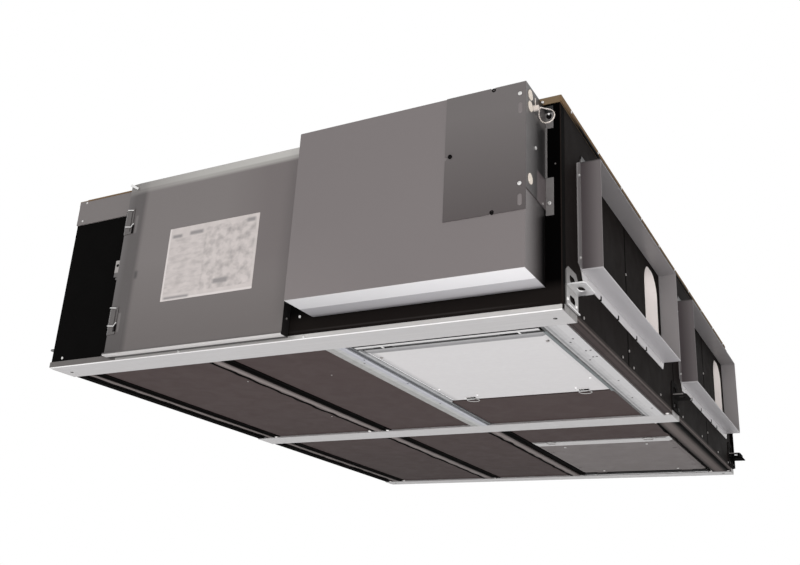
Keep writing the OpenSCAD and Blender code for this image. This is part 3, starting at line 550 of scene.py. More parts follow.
FRONT_BAY = (-0.897, -0.0245)
REAR_BAY = (0.0665, 0.927)
LIP_Z = 0.0035
SEAM_EDGES = (
    (-0.693, FRONT_BAY, 0.011), (-0.257, FRONT_BAY, 0.011), (-0.693, REAR_BAY, 0.011),
    (-0.257, REAR_BAY, 0.011), (0.119, REAR_BAY, 0.011), (0.6615, REAR_BAY, 0.0080))
foam_wave = bpy.data.textures.new("foam_wave", "CLOUDS")
foam_wave.noise_scale = 0.055
foam_wave.noise_depth = 1


def foam_lip(edge_x, ends, width):
    """A swollen foam edge along a seam: a narrow band with a wavy outline and a little thickness."""
    deselect()
    length = ends[1] - ends[0]
    bpy.ops.mesh.primitive_grid_add(
        x_subdivisions=2, y_subdivisions=int(length / 0.010), size=1,
        location=(edge_x, (ends[0] + ends[1]) / 2, LIP_Z))
    piece = bpy.context.object
    piece.scale = (width, length - 0.002, 1)
    place_in_mesh()
    apply_modifier(piece, "DISPLACE", texture=foam_wave, direction="X", strength=0.016, mid_level=0.5)
    apply_modifier(piece, "SOLIDIFY", thickness=0.0022, offset=0.0)
    apply_modifier(piece, "SUBSURF", levels=1, render_levels=1)
    bpy.ops.object.shade_smooth()
    return piece


BEAD_EDGES = (
    (-0.646, FRONT_BAY), (-0.198, FRONT_BAY), (-0.646, REAR_BAY), (-0.198, REAR_BAY),
    (0.178, (REAR_BAY[0], 0.284)))
bead_flanges = join([bar((x, ends[0], 0.0036), (x + 0.0115, ends[1], 0.0068), 0.0012)
                     for x, ends in BEAD_EDGES])
fit(bead_flanges, "bead_flanges", rubber)
right_strip = bar((0.6655, REAR_BAY[0], 0.0033), (0.7205, REAR_BAY[1], 0.0062), 0.0008)
# The right seam strip is black, with a broad painted highlight along it in a brown tone.
right_strip_sheen = coat_finish(
    "right_strip_sheen", (0.003, 0.0026, 0.0024), tone=0.2, rough=0.7, grain=700.0, bump=0.0002, specular=0.02)
tint(right_strip_sheen, (0.124, 0.106, 0.100), x=(0.6650, 0.7145), soft_x=0.0165)
fit(right_strip, "right_seam_strip", right_strip_sheen)
rear_sill = bar((0.7225, REAR_BAY[0], 0.0034), (0.7303, REAR_BAY[1], 0.0065), 0.0008)
fit(rear_sill, "rear_sill", sill_brown)
foam_lips = join([foam_lip(x, ends, width) for x, ends, width in SEAM_EDGES])
fit(foam_lips, "seam_foam_lips", rubber)


def bead_tip():
    """The pale moulded end of a rubber bead: a short rounded plug that faces +Z."""
    deselect()
    bpy.ops.mesh.primitive_cylinder_add(vertices=20, radius=0.0055, depth=0.010, location=(0, 0, 0.001))
    piece = bpy.context.object
    place_in_mesh()
    pick_faces(piece, lambda middle, normal: normal.z > 0.9)
    bpy.ops.mesh.inset(thickness=0.0020)
    bpy.ops.transform.translate(value=(0, 0, 0.0015))
    bpy.ops.object.mode_set(mode="OBJECT")
    apply_modifier(piece, "BEVEL", width=0.0008, segments=2)
    return piece


pale_plastic = plain_finish("pale_plastic", (0.72, 0.69, 0.67), roughness=0.45, grain=120.0)
TIP_PLACES = (
    (-0.650, -0.029), (-0.2675, -0.029), (-0.1995, -0.029), (-0.706, 0.922), (-0.638, 0.920), (-0.209, 0.920),
    (0.661, 0.072), (0.661, 0.915), (0.720, -0.033), (0.724, 0.915))
bead_tips = copies_at(bead_tip(), [(x, y, 0.0085) for x, y in TIP_PLACES], DOWN)
fit(bead_tips, "bead_tips", pale_plastic)
screws("floor_screws", DOWN, 0.0024,
       [(-0.014, -0.679, 0.006), (-0.280, -0.692, 0.006), (-0.280, -0.250, 0.006)], shaded_zinc)

# Front access door
# A pan of bright satin sheet over foam, hung on a rod at its front edge between galvanised frame strips.
# Two wire rings near its rear edge turn the latches that hold it shut.
door_sheet = zinc_finish(
    "door_sheet", (0.60, 0.585, 0.585), spangle=0.03, streak=0.04, rough=0.5, bump=0.0001, Metallic=0.6)
HINGE_Y = -0.862
REAR_HINGE_Y = 0.897
# Light and shade on the door's left rim and front edge is painted into its finish: a soft grey band, a painted
# highlight on the rim's slope and a grey line at its foot, grey shade along the hinge edge, and a black line as
# painted shade in the gap by the rod.
tint(door_sheet, (0.37, 0.362, 0.366), x=(-FAR, 0.2075), soft_x=0.024)
tint(door_sheet, (0.95, 0.945, 0.955), x=(-FAR, 0.1893), soft_x=0.001)
tint(door_sheet, (0.36, 0.352, 0.356), x=(0.1866, 0.1916), soft_x=0.0012)
tint(door_sheet, (0.25, 0.246, 0.250), y=(-FAR, HINGE_Y + 0.040), soft_y=0.003)
tint(door_sheet, (0.42, 0.415, 0.415), y=(-FAR, HINGE_Y + 0.030), soft_y=0.012)
tint(door_sheet, (0.008, 0.0075, 0.0075), y=(-FAR, HINGE_Y + 0.0208), soft_y=0.0015)
dress(door_sheet, ("front_door",), 0.0006)
frame_zinc = zinc_finish(
    "frame_zinc", (0.475, 0.466, 0.466), spangle=0.08, streak=0.08, rough=0.42, Metallic=0.5)
# The light and shade of the frame strips' shallow folds and grooves is painted as bands of tone along each
# strip.
for colour, painted_band in (
        ((0.270, 0.262, 0.255), (0.100, 0.1164)), ((0.262, 0.263, 0.250), (0.1164, 0.1278)),
        ((0.375, 0.375, 0.372), (0.1278, 0.1410)), ((0.360, 0.362, 0.395), (0.1410, 0.1520)),
        ((0.425, 0.428, 0.465), (0.1520, 0.1588)), ((0.026, 0.030, 0.036), (0.1588, 0.1702)),
        ((0.160, 0.163, 0.170), (0.1702, 0.1730)),
        ((0.028, 0.028, 0.028), (0.6460, 0.6548)), ((0.350, 0.340, 0.345), (0.6548, 0.6602)),
        ((0.225, 0.224, 0.225), (0.6602, 0.6672)), ((0.375, 0.368, 0.370), (0.6672, 0.6760)),
        ((0.425, 0.416, 0.418), (0.6760, 0.6860))):
    tint(frame_zinc, colour, x=painted_band)
dress(frame_zinc, ("door_frame",), 0.0005)
door_seals = join([bar((low, -0.856, 0.0020), (high, -0.327, top), 0.0008)
                   for low, high, top in ((0.1728, 0.1774, 0.0082), (0.6408, 0.6500, 0.0045))])
seal_grey = plain_finish("seal_grey", (0.34, 0.343, 0.345), roughness=0.6, grain=90.0)
# The right seal is painted darker as painted shade.
tint(seal_grey, (0.105, 0.118, 0.120), x=(0.4, FAR))
fit(door_seals, "door_seals", seal_grey)
hinge_zinc = zinc_finish(
    "hinge_zinc", (0.56, 0.55, 0.55), spangle=0.06, streak=0.10, rough=0.4, Metallic=0.55)
# The rods and the bands round each hinge axis are painted dark as painted shade.
for axis_y in (HINGE_Y, REAR_HINGE_Y):
    tint(hinge_zinc, (0.010, 0.009, 0.009), y=(axis_y - 0.0115, axis_y + 0.0115))
tint(hinge_zinc, (0.020, 0.019, 0.019), y=(-0.8980, -0.8860))
tint(hinge_zinc, (0.035, 0.034, 0.034), y=(0.9170, 0.9275), z=(0.0040, FAR))
dress(hinge_zinc, ("hinge_rods",), 0.0004)
hinge_clips = join([bar((x, HINGE_Y - 0.0165, 0.0006), (x + 0.005, HINGE_Y - 0.0015, 0.0020), 0.0004)
                    for x in (0.2445, 0.5890)])
fit(hinge_clips, "hinge_clips", bright_zinc)
# Glint white is near-white, barely metallic zinc for small rivets and screws, coloured to show their glint: a
# painted highlight.
glint_white = plain_finish("glint_white", (0.96, 0.95, 0.94), roughness=0.35, grain=200.0, metallic=0.1)
wire = plain_finish("wire", (0.52, 0.51, 0.505), roughness=0.3, grain=150.0, metallic=0.9)
dress(wire, ("front_door_rings",))
FRONT_RINGS = (0.2455, 0.5725)
LATCH_Y = -0.3585
latch_plates = join([bar((x - 0.017, LATCH_Y - 0.0055, 0.0028), (x + 0.017, LATCH_Y + 0.0055, 0.0043), 0.0005)
                     for x in FRONT_RINGS])
fit(latch_plates, "front_latch_plates", bright_zinc, "front_door")
latch_slots = join([
    bar((x + left, LATCH_Y - 0.0050, 0.0021), (x + left + width, LATCH_Y + 0.0050, 0.0035), 0.0005)
    for x in FRONT_RINGS for left, width in ((-0.0095, 0.0040), (-0.0035, 0.0040), (0.0030, 0.0140))])
fit(latch_slots, "front_latch_slots", hole_black, "front_door")
FRAME_HOLES = (
    (0.153, -0.793), (0.139, -0.768), (0.153, -0.560), (0.139, -0.330), (0.689, -0.796), (0.676, -0.773),
    (0.700, -0.702), (0.689, -0.701), (0.690, -0.649), (0.699, -0.650), (0.676, -0.628), (0.689, -0.430),
    (0.676, -0.250), (0.697, -0.120))
holes("frame_holes", DOWN, 0.0019, [(x, y, 0.0) for x, y in FRAME_HOLES])
DOOR_FACE_Z = 0.004
screws("front_door_screws", DOWN, 0.0040,
       [(0.198, -0.786, DOOR_FACE_Z), (0.628, -0.788, DOOR_FACE_Z)], shaded_zinc, body="front_door")
DOOR_RIVETS = ((0.201, -0.465), (0.626, -0.465), (0.279, -0.384), (0.5605, -0.380))
screws("front_door_rivets", DOWN, 0.0032,
       [(x, y, DOOR_FACE_Z) for x, y in DOOR_RIVETS], glint_white, body="front_door")

# Rear access door
# A grey coated pan hinged at its rear edge, with a galvanised stiffener along its latch edge
# and the same two wire rings.
door_grey = coat_finish(
    "door_grey", (0.115, 0.099, 0.096), tone=0.12, rough=0.6, grain=800.0, bump=0.0002, specular=0.25)
# The strip by the rear hinge is painted near black as painted shade.
tint(door_grey, (0.015, 0.014, 0.014), y=(REAR_HINGE_Y - 0.0062, FAR))
dress(door_grey, ("rear_door",), 0.0006)
latch_zinc = zinc_finish(
    "latch_zinc", (0.43, 0.418, 0.414), spangle=0.08, streak=0.12, rough=0.4, Metallic=0.55)
dress(latch_zinc, ("rear_door_latch_strip",), 0.0006)
dress(wire, ("rear_door_rings",))
DOOR_SCREWS = ((0.279, 0.837), (0.559, 0.833), (0.279, 0.372), (0.559, 0.372))
screws("rear_door_screws", DOWN, 0.0038,
       [(x, y, DOOR_FACE_Z) for x, y in DOOR_SCREWS], bright_zinc, body="rear_door")

# Duct collars
# Each collar is four folded plates of grey coated sheet, screwed to the wall through their flanges.
# A duct slides over the plates.
collar_grey = coat_finish(
    "collar_grey", (0.152, 0.135, 0.137), tone=0.08, rough=0.42, grain=900.0, bump=0.0001, metallic=0.2)
# The collars' light and shade is painted into their finish: darker end plates near the wall, a painted
# highlight on the flanges against the wall, lighter plates between the ends, the top plate dark and black above
# it as painted shade, and the foot plate and its flange pale as painted light from below.
for sign in (1, -1):
    tint(collar_grey, (0.070, 0.058, 0.061), x=sorted((sign * 0.700, sign * 0.772)), soft_x=0.034)
    tint(collar_grey, (0.215, 0.203, 0.203), x=sorted((sign * 0.729, sign * 0.7334)))
COLLAR_MIDDLES = (-0.482, 0.505)
for middle_y in COLLAR_MIDDLES:
    tint(collar_grey, (0.295, 0.278, 0.280), y=(middle_y - 0.374, middle_y + 0.379))
tint(collar_grey, (0.060, 0.054, 0.054), z=(0.3973, FAR))
tint(collar_grey, (0.004, 0.0036, 0.0036), z=(0.4110, FAR))
tint(collar_grey, (0.47, 0.455, 0.465), z=(0.0, 0.1365))
tint(collar_grey, (0.68, 0.665, 0.67), z=(0.0, 0.1328), soft_z=0.006)
for hand in ("right", "left"):
    dress(collar_grey, (f"{hand}_collar_front", f"{hand}_collar_rear"), 0.0008)
NOTCHES = (-0.237, -0.092, 0.079, 0.178)
notch_shades = join([
    bar((side_x - 0.0012, middle_y + along - 0.0042, 0.1108),
        (side_x + 0.0008, middle_y + along + 0.0042, 0.1215), 0.0004)
    for side_x in (0.7326, -0.7322) for middle_y in COLLAR_MIDDLES for along in NOTCHES])
fit(notch_shades, "collar_notch_shades", hole_black)
PLATE_X = 0.733
for hand, flange_x in (("right", PLATE_X), ("left", -PLATE_X)):
    flange_screws = []
    for middle_y in COLLAR_MIDDLES:
        for end in (-1, 1):
            flange_screws += [(flange_x, middle_y + end * 0.3885, z) for z in (0.361, 0.159)]
            flange_screws += [(flange_x, middle_y + end * 0.336, z) for z in (0.123, 0.410)]
    screws(f"{hand}_collar_screws", (flange_x, 0, 0), 0.0036, flange_screws, bright_zinc)

# Foam ducts
# Pale moulded foam lines each duct port and leads the air into the casing.
# The mouldings sit behind the side walls and show through the ports.
white_foam = coat_finish(
    "white_foam", (0.97, 0.91, 0.885), tone=0.04, rough=0.8, grain=260.0, bump=0.0006, specular=0.2)
dress(white_foam, ("duct_liners",))

# Hanging brackets
# Each bracket is a bent plate with slots for the hanging rods, screwed over the rail ends. The front pair is
# bright zinc, and the others are coloured near black, with paler lines along their tongue edges. The rear pair
# has a second, lower tongue, and a dark strip covers each rear corner of the casing beside it.
bracket_coat = zinc_finish(
    "bracket_coat", (0.80, 0.79, 0.79), spangle=0.10, streak=0.08, rough=0.38, Specular_IOR_Level=0.06)
for sign in (1, -1):
    plate = sorted((sign * 0.7290, sign * 0.7336))
    wall_side = sorted((sign * 0.7280, sign * 0.7325))
    # The bracket plates on the side walls are painted darker than the tongues, and darker still on their upper
    # part, as painted shade.
    tint(bracket_coat, (0.42, 0.41, 0.405), x=plate)
    tint(bracket_coat, (0.26, 0.25, 0.245), x=plate, z=(0.0650, FAR))
    for slot_z in (0.039, 0.084):
        tint(bracket_coat, (0.010, 0.009, 0.009), x=wall_side, y=(-0.949, -0.911),
             z=(slot_z - 0.0085, slot_z + 0.0085))
# The middle and rear brackets are coloured near black, matt and barely metallic, with paler lines along their
# tongue edges. The left front bracket's outer part is darker.
dark_bracket_mask = tint(bracket_coat, (0.008, 0.0072, 0.0070), y=(-0.5, FAR))
for sign in (1, -1):
    for middle_y in (0.021, 0.930):
        tint(bracket_coat, (0.17, 0.16, 0.155), x=sorted((sign * 0.7345, sign * 0.7640)),
             y=(middle_y - 0.0390, middle_y - 0.0360), z=(0.0600, 0.0650))
tint(bracket_coat, (0.16, 0.155, 0.15), x=(-FAR, -0.7340), y=(-FAR, -0.5))
bracket_tree = bracket_coat.node_tree
bracket_shader = bracket_tree.nodes["Principled BSDF"]
bare_metal = add_node(bracket_tree, "ShaderNodeMath", {
    0: dark_bracket_mask, 1: -0.8, 2: 0.8}, operation="MULTIPLY_ADD")
bracket_tree.links.new(bare_metal.outputs[0], bracket_shader.inputs["Metallic"])
bare_rough = bracket_shader.inputs["Roughness"].links[0].from_socket
matt_where_dark = add_node(bracket_tree, "ShaderNodeMath", {0: dark_bracket_mask, 1: bare_rough}, operation="MAXIMUM")
bracket_tree.links.new(matt_where_dark.outputs[0], bracket_shader.inputs["Roughness"])
dress(bracket_coat, ("hanging_brackets",), 0.0006)
dark_steel = plain_finish(
    "dark_steel", (0.02, 0.019, 0.019), roughness=0.4, grain=200.0, metallic=0.5)
for hand, plate_x in (("right", PLATE_X), ("left", -PLATE_X)):
    for end, radius, places, finish in (
            ("front", 0.0034, (-0.965, -0.908), glint_white),
            ("rear", 0.0042, (-0.009, 0.051, 0.900, 0.960), dark_steel)):
        screws(f"{hand}_{end}_bracket_screws", (plate_x, 0, 0), radius,
               [(plate_x, y, 0.0310) for y in places], finish)

rear_plates = join([bar((low, 0.900, 0.0460), (high, 0.962, 0.0490), 0.0008)
                    for low, high in ((0.7325, 0.7795), (-0.7795, -0.7325))])
fit(rear_plates, "rear_lower_tongues", rubber)
corner_strips = join([bar((low, 0.9690, 0.0220), (high, 0.9885, 0.4860), 0.0008)
                      for low, high in ((0.7298, 0.7380), (-0.7380, -0.7298))])
fit(corner_strips, "rear_corner_strips", rubber)

# Top panels
# Two insulated panels close the top, one over each module. Their faces are plain zinc,
# and their edges are wrapped in tan sheet with a row of screws.
top_sheet = zinc_finish(
    "top_sheet", (0.42, 0.41, 0.40), spangle=0.12, streak=0.10, rough=0.45, Metallic=0.35)
tint(top_sheet, (0.165, 0.112, 0.060), z=(-FAR, 0.5043))
dress(top_sheet, ("top_panels",), 0.0008)
TRIM_X = 0.7334
edge_trims = join([bar((x, -0.990, 0.4880), (x + 0.0036, 0.990, 0.5048), 0.0008) for x in (0.7298, -TRIM_X)]
                  + [bar((-0.700, -0.9932, 0.4998), (-0.5115, -0.9895, 0.5041), 0.0006)])
trim_tan = coat_finish(
    "trim_tan", (0.185, 0.120, 0.066), tone=0.2, rough=0.7, grain=500.0, bump=0.0001, specular=0.04)
# The tan trims and panel edges along each side fade to near black back from the front corner, as painted shade.
for edge in ((0.7296, FAR), (-FAR, -0.7296)):
    for side_sheet in (top_sheet, trim_tan):
        tint(side_sheet, (0.004, 0.0036, 0.0034), x=edge, y=(-0.985, FAR), z=(-FAR, 0.4950), soft_y=0.13)
fit(edge_trims, "top_edge_trims", trim_tan)
top_screw_y = [-0.924 + 0.206 * step for step in range(10)]
for hand, side_x in (("right", TRIM_X), ("left", -TRIM_X)):
    screws(f"{hand}_top_screws", (side_x, 0, 0), 0.0034,
           [(side_x, y, 0.4960) for y in top_screw_y], bright_zinc)
screws("front_top_screws", FORWARD, 0.0034, [(x, FLANGE_Y, 0.4935) for x in (0.690, 0.090)], bright_zinc)

# Front cover
# A lift-off tray of grey painted sheet with a rounded top edge and a hem along its foot. Its bent-back left
# edge is held by two spring latches, and a paper data sheet is stuck on its face.
grey_paint = coat_finish(
    "grey_paint", (0.173, 0.157, 0.154), tone=0.05, rough=0.36, grain=1100.0, bump=0.00008, specular=0.35)
COVER_Y = -1.018
cover_paint = grey_paint.copy()
cover_paint.name = "cover_paint"
# Light and shade on the cover is painted into its finish: darker towards its foot, on the bent-back left edge
# and in its fold as painted shade, with two lighter patches by the latches as painted light.
tint(cover_paint, (0.126, 0.113, 0.110), z=(-FAR, 0.26), soft_z=0.22)
tint(cover_paint, (0.112, 0.103, 0.102), x=(-FAR, -0.440), soft_x=0.012)
tint(cover_paint, (0.090, 0.082, 0.081), x=(-FAR, -0.440), z=(-FAR, 0.24), soft_x=0.012, soft_z=0.16)
tint(cover_paint, (0.083, 0.074, 0.073), x=(-0.506, -0.432), soft_x=0.022)
tint(cover_paint, (0.070, 0.062, 0.061), x=(-FAR, -0.432), z=(-FAR, 0.110), soft_x=0.022, soft_z=0.080)
for light_x, light_z in ((-0.474, 0.350), (-0.480, 0.068)):
    tint(cover_paint, (0.140, 0.129, 0.127), x=(light_x, light_x + 0.014), z=(light_z, light_z + 0.056),
         soft_x=0.004, soft_z=0.004)
tint(cover_paint, (0.070, 0.064, 0.064), x=(-0.446, -0.428), z=(0.210, 0.240), soft_x=0.007, soft_z=0.009)
# Near the box the cover is painted darker as painted shade, and a painted highlight runs along its rounded top
# edge.
tint(cover_paint, (0.148, 0.131, 0.130), x=(-0.16, FAR), z=(0.12, FAR), soft_x=0.13, soft_z=0.10)
tint(cover_paint, (0.345, 0.334, 0.318), x=(-0.60, FAR), z=(0.4680, FAR), soft_x=0.35, soft_z=0.009)
tint(cover_paint, (0.475, 0.466, 0.446), x=(-0.56, FAR), z=(0.4815, FAR), soft_x=0.56, soft_z=0.004)
# Along the foot, a dark line in the crease is painted shade and the hem is painted pale as painted light; its
# back, and the right side face beside the box, are painted near black as painted shade.
tint(cover_paint, (0.105, 0.096, 0.094), z=(0.0112, 0.0150), soft_z=0.001)
tint(cover_paint, (0.47, 0.455, 0.445), y=(-FAR, -1.0090), z=(0.0, 0.0112))
tint(cover_paint, (0.38, 0.365, 0.355), y=(-1.0150, FAR), z=(0.0, 0.0090))
tint(cover_paint, (0.022, 0.020, 0.020), y=(-1.0020, FAR), z=(0.0, 0.0120))
tint(cover_paint, (0.012, 0.011, 0.011), x=(0.0572, FAR))
dress(cover_paint, ("front_cover",), 0.0010)
dress(grey_paint, ("front_top_strip",), 0.0008)
latch_finish = zinc_finish(
    "latch_finish", (0.70, 0.69, 0.68), spangle=0.05, streak=0.05, rough=0.35, bump=0.0001, Metallic=0.6)
# The latch finish is painted dark on the parts over the cover's face and round the tab, and black on the wire
# parts round the bent-back edge, as painted shade.
tint(latch_finish, (0.36, 0.34, 0.33), z=(0.215, 0.290))
tint(latch_finish, (0.13, 0.122, 0.120), z=(0.215, 0.2475))
tint(latch_finish, (0.115, 0.106, 0.104), x=(-0.5098, FAR))
for wire_low, wire_high in ((0.080, 0.150), (0.365, 0.440)):
    tint(latch_finish, (0.02, 0.018, 0.018), x=(-FAR, -0.5165), z=(wire_low, wire_high))
dress(latch_finish, ("front_cover_latches",), 0.0003)


def leaning_bar(middle, half, edge, lean):
    """A bar about its middle, from half of each size, that leans from the level by an angle in degrees."""
    piece = bar([-size for size in half], half, edge)
    turn = Matrix.Rotation(math.radians(lean), 4, "Y")
    piece.matrix_world = Matrix.Translation(middle) @ turn
    place_in_mesh()
    return piece


LATCH_PINS = (
    (-0.4948, 0.4244, 0.0112, 9), (-0.4960, 0.3741, 0.0112, 9), (-0.4808, 0.3775, 0.0066, -52),
    (-0.4990, 0.1390, 0.0118, 7), (-0.4986, 0.0885, 0.0118, 7), (-0.4838, 0.0924, 0.0060, -55))
latch_pins = join([leaning_bar((x, -1.0166, z), (half, 0.0014, 0.0014), 0.0010, lean)
                   for x, z, half, lean in LATCH_PINS])
fit(latch_pins, "latch_pins", bright_zinc)
slot_shades = join([bar((x, -1.0178, low), (x + 0.0060, -1.0150, high), 0.0008)
                    for x, low, high in ((-0.4812, 0.3530, 0.3775), (-0.4848, 0.0720, 0.0915))])
fit(slot_shades, "latch_slot_shades", hole_black)
latch_tab = bar((-0.5300, -1.0058, 0.2345), (-0.5115, -1.0036, 0.2830), 0.0006)
fit(latch_tab, "latch_tab", latch_finish)
holes("latch_tab_hole", FORWARD, 0.0034, [(-0.5214, -1.0058, 0.2680)])
hook_lug = leaning_bar((-0.494, -1.0185, 0.4955), (0.017, 0.0015, 0.0035), 0.0012, 29)
fit(hook_lug, "cover_hook", bright_zinc)
SHEET_LOW, SHEET_HIGH = (-0.3355, 0.1355), (-0.0445, 0.3395)
deselect()
bpy.ops.mesh.primitive_plane_add(
    size=1, rotation=(math.pi / 2, 0, 0),
    location=((SHEET_LOW[0] + SHEET_HIGH[0]) / 2, COVER_Y - 0.0001, (SHEET_LOW[1] + SHEET_HIGH[1]) / 2))
data_sheet = bpy.context.object
data_sheet.scale = (SHEET_HIGH[0] - SHEET_LOW[0], SHEET_HIGH[1] - SHEET_LOW[1], 1)
place_in_mesh()
bpy.ops.object.mode_set(mode="EDIT")
bpy.ops.mesh.select_all(action="SELECT")
bpy.ops.mesh.bevel(offset=0.0015, segments=2, affect="VERTICES")
bpy.ops.object.mode_set(mode="OBJECT")
apply_modifier(data_sheet, "SOLIDIFY", thickness=0.0004, offset=1.0)
paper = plain_finish("paper", (0.565, 0.520, 0.505), roughness=0.6, grain=40.0)
paper_tree = paper.node_tree
paper_place = paper_tree.nodes.new("ShaderNodeTexCoord").outputs["Object"]


def print_block(x, z, stretch, strength):
    """Soft grey marks on the sheet inside a box of places, like small print seen from too far off to read."""
    squeezed = add_node(paper_tree, "ShaderNodeMapping", {"Vector": paper_place, "Scale": stretch})
    soft_marks = add_node(paper_tree, "ShaderNodeMapRange", {
        "Value": noise(paper_tree, squeezed.outputs[0], scale=1.0, detail=2.0),
        "From Min": 0.42, "From Max": 0.72, "To Max": strength})
    inked = add_node(paper_tree, "ShaderNodeMath", {
        0: place_mask(paper_tree, x, (-FAR, FAR), z, (0.005, 1.0, 0.003)),
        1: soft_marks.outputs[0]}, operation="MULTIPLY")
    colour_over(paper_tree, inked.outputs[0], (0.20, 0.185, 0.185))


tint(paper, (0.66, 0.615, 0.60), x=(SHEET_LOW[0], SHEET_LOW[0] + 0.006))
tint(paper, (0.66, 0.615, 0.60), z=(SHEET_LOW[1], SHEET_LOW[1] + 0.006))
print_block((-0.332, -0.205), (0.152, 0.310), (30.0, 1.0, 84.0), 0.34)
print_block((-0.215, -0.050), (0.150, 0.330), (38.0, 1.0, 44.0), 0.62)
for mark_x, mark_z in (((-0.328, -0.288), (0.3080, 0.3230)), ((-0.270, -0.218), (0.3100, 0.3260)),
                       ((-0.330, -0.240), (0.1370, 0.1490)), ((-0.174, -0.120), (0.1620, 0.1800)),
                       ((-0.086, -0.052), (0.3170, 0.3330))):
    tint(paper, (0.27, 0.255, 0.255), x=mark_x, z=mark_z, soft_x=0.008, soft_z=0.0055)
fit(data_sheet, "data_sheet", paper)
screws("cover_rivets", FORWARD, 0.0030,
       [(-0.707, -0.992, 0.438), (-0.702, -0.992, 0.495)], bright_zinc)
screws("cover_side_screws", RIGHT, 0.0030, [(0.058, -1.003, 0.051)], shaded_zinc)

# Control box
# A painted steel box on the front wall, with a darker access cover over its terminals that wraps round to the
# right side. Ears fix it to the wall; cream plugs close the cable knockouts beside a nylon cable tie.
box_paint = coat_finish(
    "box_paint", (0.160, 0.143, 0.143), tone=0.05, rough=0.34, grain=1100.0, bump=0.00008, specular=0.4)
access_paint = coat_finish(
    "access_paint", (0.126, 0.115, 0.114), tone=0.05, rough=0.36, grain=1100.0, bump=0.00008, specular=0.35)
# The box's paint is painted lighter towards its lower left as painted light.
tint(box_paint, (0.182, 0.162, 0.161), x=(-FAR, 0.40), z=(-FAR, 0.24), soft_x=0.36, soft_z=0.18)
# The body's paint is a copy of the cover's paint with a dimmer painted underside, as painted shade.
shaded_body_paint = box_paint.copy()
shaded_body_paint.name = "shaded_body_paint"
BOX_SIDE = (0.6935, FAR)
BOX_FOOT = (0.0, 0.0532)
# On each, the right side fades to near black towards the wall as painted shade, and the underside is painted
# pale as painted light from below, dimmer towards the left.
for paint, lit_underside in ((box_paint, (0.69, 0.68, 0.685)), (shaded_body_paint, (0.40, 0.39, 0.40))):
    tint(paint, (0.003, 0.0028, 0.0028), x=BOX_SIDE, y=(-1.106, FAR), soft_y=0.104)
    tint(paint, lit_underside, z=BOX_FOOT)
    tint(paint, [channel * 0.66 for channel in lit_underside], x=(-FAR, 0.66), z=BOX_FOOT, soft_x=0.55)
# The access cover is painted darker towards its foot and dark along its wrapped side as painted shade, with two
# lighter bands on that side as painted light.
tint(access_paint, (0.068, 0.058, 0.058), z=(-FAR, 0.42), soft_z=0.26)
ACCESS_SIDE = (BOX_SIDE[0] + 0.0018, FAR)
tint(access_paint, (0.016, 0.0148, 0.0148), x=ACCESS_SIDE, y=(-1.146, FAR), soft_y=0.115)
tint(access_paint, (0.095, 0.080, 0.082), x=ACCESS_SIDE, y=(-1.046, FAR), z=(0.225, 0.300),
     soft_y=0.006, soft_z=0.004)
tint(access_paint, (0.085, 0.078, 0.076), x=ACCESS_SIDE, y=(-1.066, FAR), z=(0.412, 0.470),
     soft_y=0.020, soft_z=0.012)
# The body's underside is painted darker near the wall as painted shade.
tint(shaded_body_paint, (0.16, 0.155, 0.16), y=(-1.004, FAR), z=BOX_FOOT, soft_y=0.012)
dress(box_paint, ("control_box_cover",), 0.0015)
dress(shaded_body_paint, ("control_box_body",), 0.0015)
dress(access_paint, ("control_box_access_cover",))
ear_zinc = zinc_finish(
    "ear_zinc", (0.19, 0.18, 0.178), spangle=0.08, streak=0.08, rough=0.4, Metallic=0.3)
# The ear is painted near black above its hole as painted shade.
tint(ear_zinc, (0.006, 0.0055, 0.0055), z=(0.4625, FAR), soft_z=0.002)
dress(ear_zinc, ("control_box_ears",), 0.0005)
holes("ear_hole", FORWARD, 0.0052, [(0.7045, FLANGE_Y, 0.4553)])
edge_strip = join([bar((0.6955, -0.9920, 0.303), (0.6998, -0.9880, 0.427), 0.0006),
                   bar((0.6985, -0.9910, 0.2515), (0.7118, -0.9898, 0.2655), 0.0004)])
fit(edge_strip, "box_edge_strip", ear_zinc)
cream = plain_finish("cream", (0.80, 0.72, 0.63), roughness=0.5, grain=180.0)
nylon = plain_finish("nylon", (0.66, 0.60, 0.55), roughness=0.4, grain=150.0)
dress(cream, ("knockout_plugs",), 0.0004)
TIE_X, TIE_Y, TIE_Z = 0.7146, -1.030, 0.431
TIE_TIP = Vector((-0.68, 0, 0.73)).normalized()
TIE_PULL = Vector((0.0039, -0.034, -0.012))
PULL_STEPS = (0.62, 0.74, 0.84, 0.92, 0.97)
deselect()
bpy.ops.mesh.primitive_torus_add(
    major_segments=64, minor_segments=8, major_radius=0.0162, minor_radius=0.0013,
    location=(TIE_X, TIE_Y, TIE_Z), rotation=(math.pi / 2, 0, 0))
tie_loop = bpy.context.object
tie_loop.scale = (1, 1, 1.9)
place_in_mesh()
for spread in PULL_STEPS:
    pick_faces(tie_loop, lambda middle, normal: Vector(
        (middle.x - TIE_X, 0, middle.z - TIE_Z)).normalized().dot(TIE_TIP) > spread)
    bpy.ops.transform.translate(value=TIE_PULL / len(PULL_STEPS))
    bpy.ops.object.mode_set(mode="OBJECT")
apply_modifier(tie_loop, "SUBSURF", levels=1, render_levels=1)
bpy.ops.object.shade_smooth()
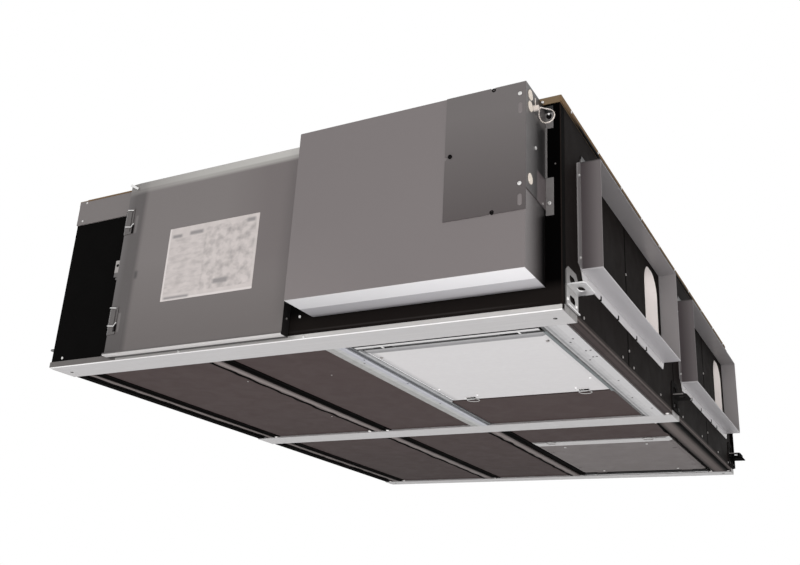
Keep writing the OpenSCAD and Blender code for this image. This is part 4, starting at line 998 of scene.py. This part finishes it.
tie_head = bar((0.6957, -1.0690, 0.4280), (0.7086, -1.0620, 0.4395), 0.001)
tie_tail = bar((0.6995, -1.0670, 0.4400), (0.7010, -1.0635, 0.4590), 0.0005)
tie = join([tie_loop, tie_head, tie_tail])
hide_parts("cable_tie")
fit(tie, "nylon_tie", nylon)
ACCESS_Y = -1.109
screws("access_screws", FORWARD, 0.0045,
       [(0.683, ACCESS_Y, 0.449), (0.683, ACCESS_Y, 0.237)], bright_zinc)
screws("notch_screws", FORWARD, 0.0048,
       [(0.6225, -1.107, 0.4725), (0.5235, ACCESS_Y, 0.3310), (0.6225, -1.107, 0.1825)],
       hole_black)
screws("box_side_screws", RIGHT, 0.0042, [(0.696, -1.054, 0.344)], bright_zinc)
screws("ear_screws", FORWARD, 0.0042, [(0.7044, FLANGE_Y, 0.242)], bright_zinc)
# A small near-white dot in the ear's hole is a painted glint on the hole's upper rim.
screws("ear_hole_glint", FORWARD, 0.0023, [(0.7042, FLANGE_Y, 0.4607)], glint_white)
screws("ear_side_screws", RIGHT, 0.0034, [(0.696, -1.010, 0.2330)], shaded_zinc)


def pressed_slot(length, width, height):
    """A pressed rib with round ends, long in Y, that faces +Z."""
    deselect()
    bpy.ops.mesh.primitive_plane_add(size=1)
    piece = bpy.context.object
    piece.scale = (width, length, 1)
    place_in_mesh()
    bpy.ops.object.mode_set(mode="EDIT")
    bpy.ops.mesh.select_all(action="SELECT")
    bpy.ops.mesh.bevel(offset=width * 0.499, segments=6, affect="VERTICES")
    bpy.ops.mesh.select_mode(type="FACE")
    bpy.ops.mesh.select_all(action="SELECT")
    bpy.ops.mesh.extrude_region_move(TRANSFORM_OT_translate={"value": (0, 0, height)})
    bpy.ops.transform.resize(value=(0.7, 0.9, 1))
    bpy.ops.object.mode_set(mode="OBJECT")
    return piece


access_ribs = copies_at(
    pressed_slot(0.026, 0.009, 0.0008), [(0.683, ACCESS_Y, 0.415), (0.683, ACCESS_Y, 0.201)], FORWARD)
fit(access_ribs, "access_ribs", box_paint)
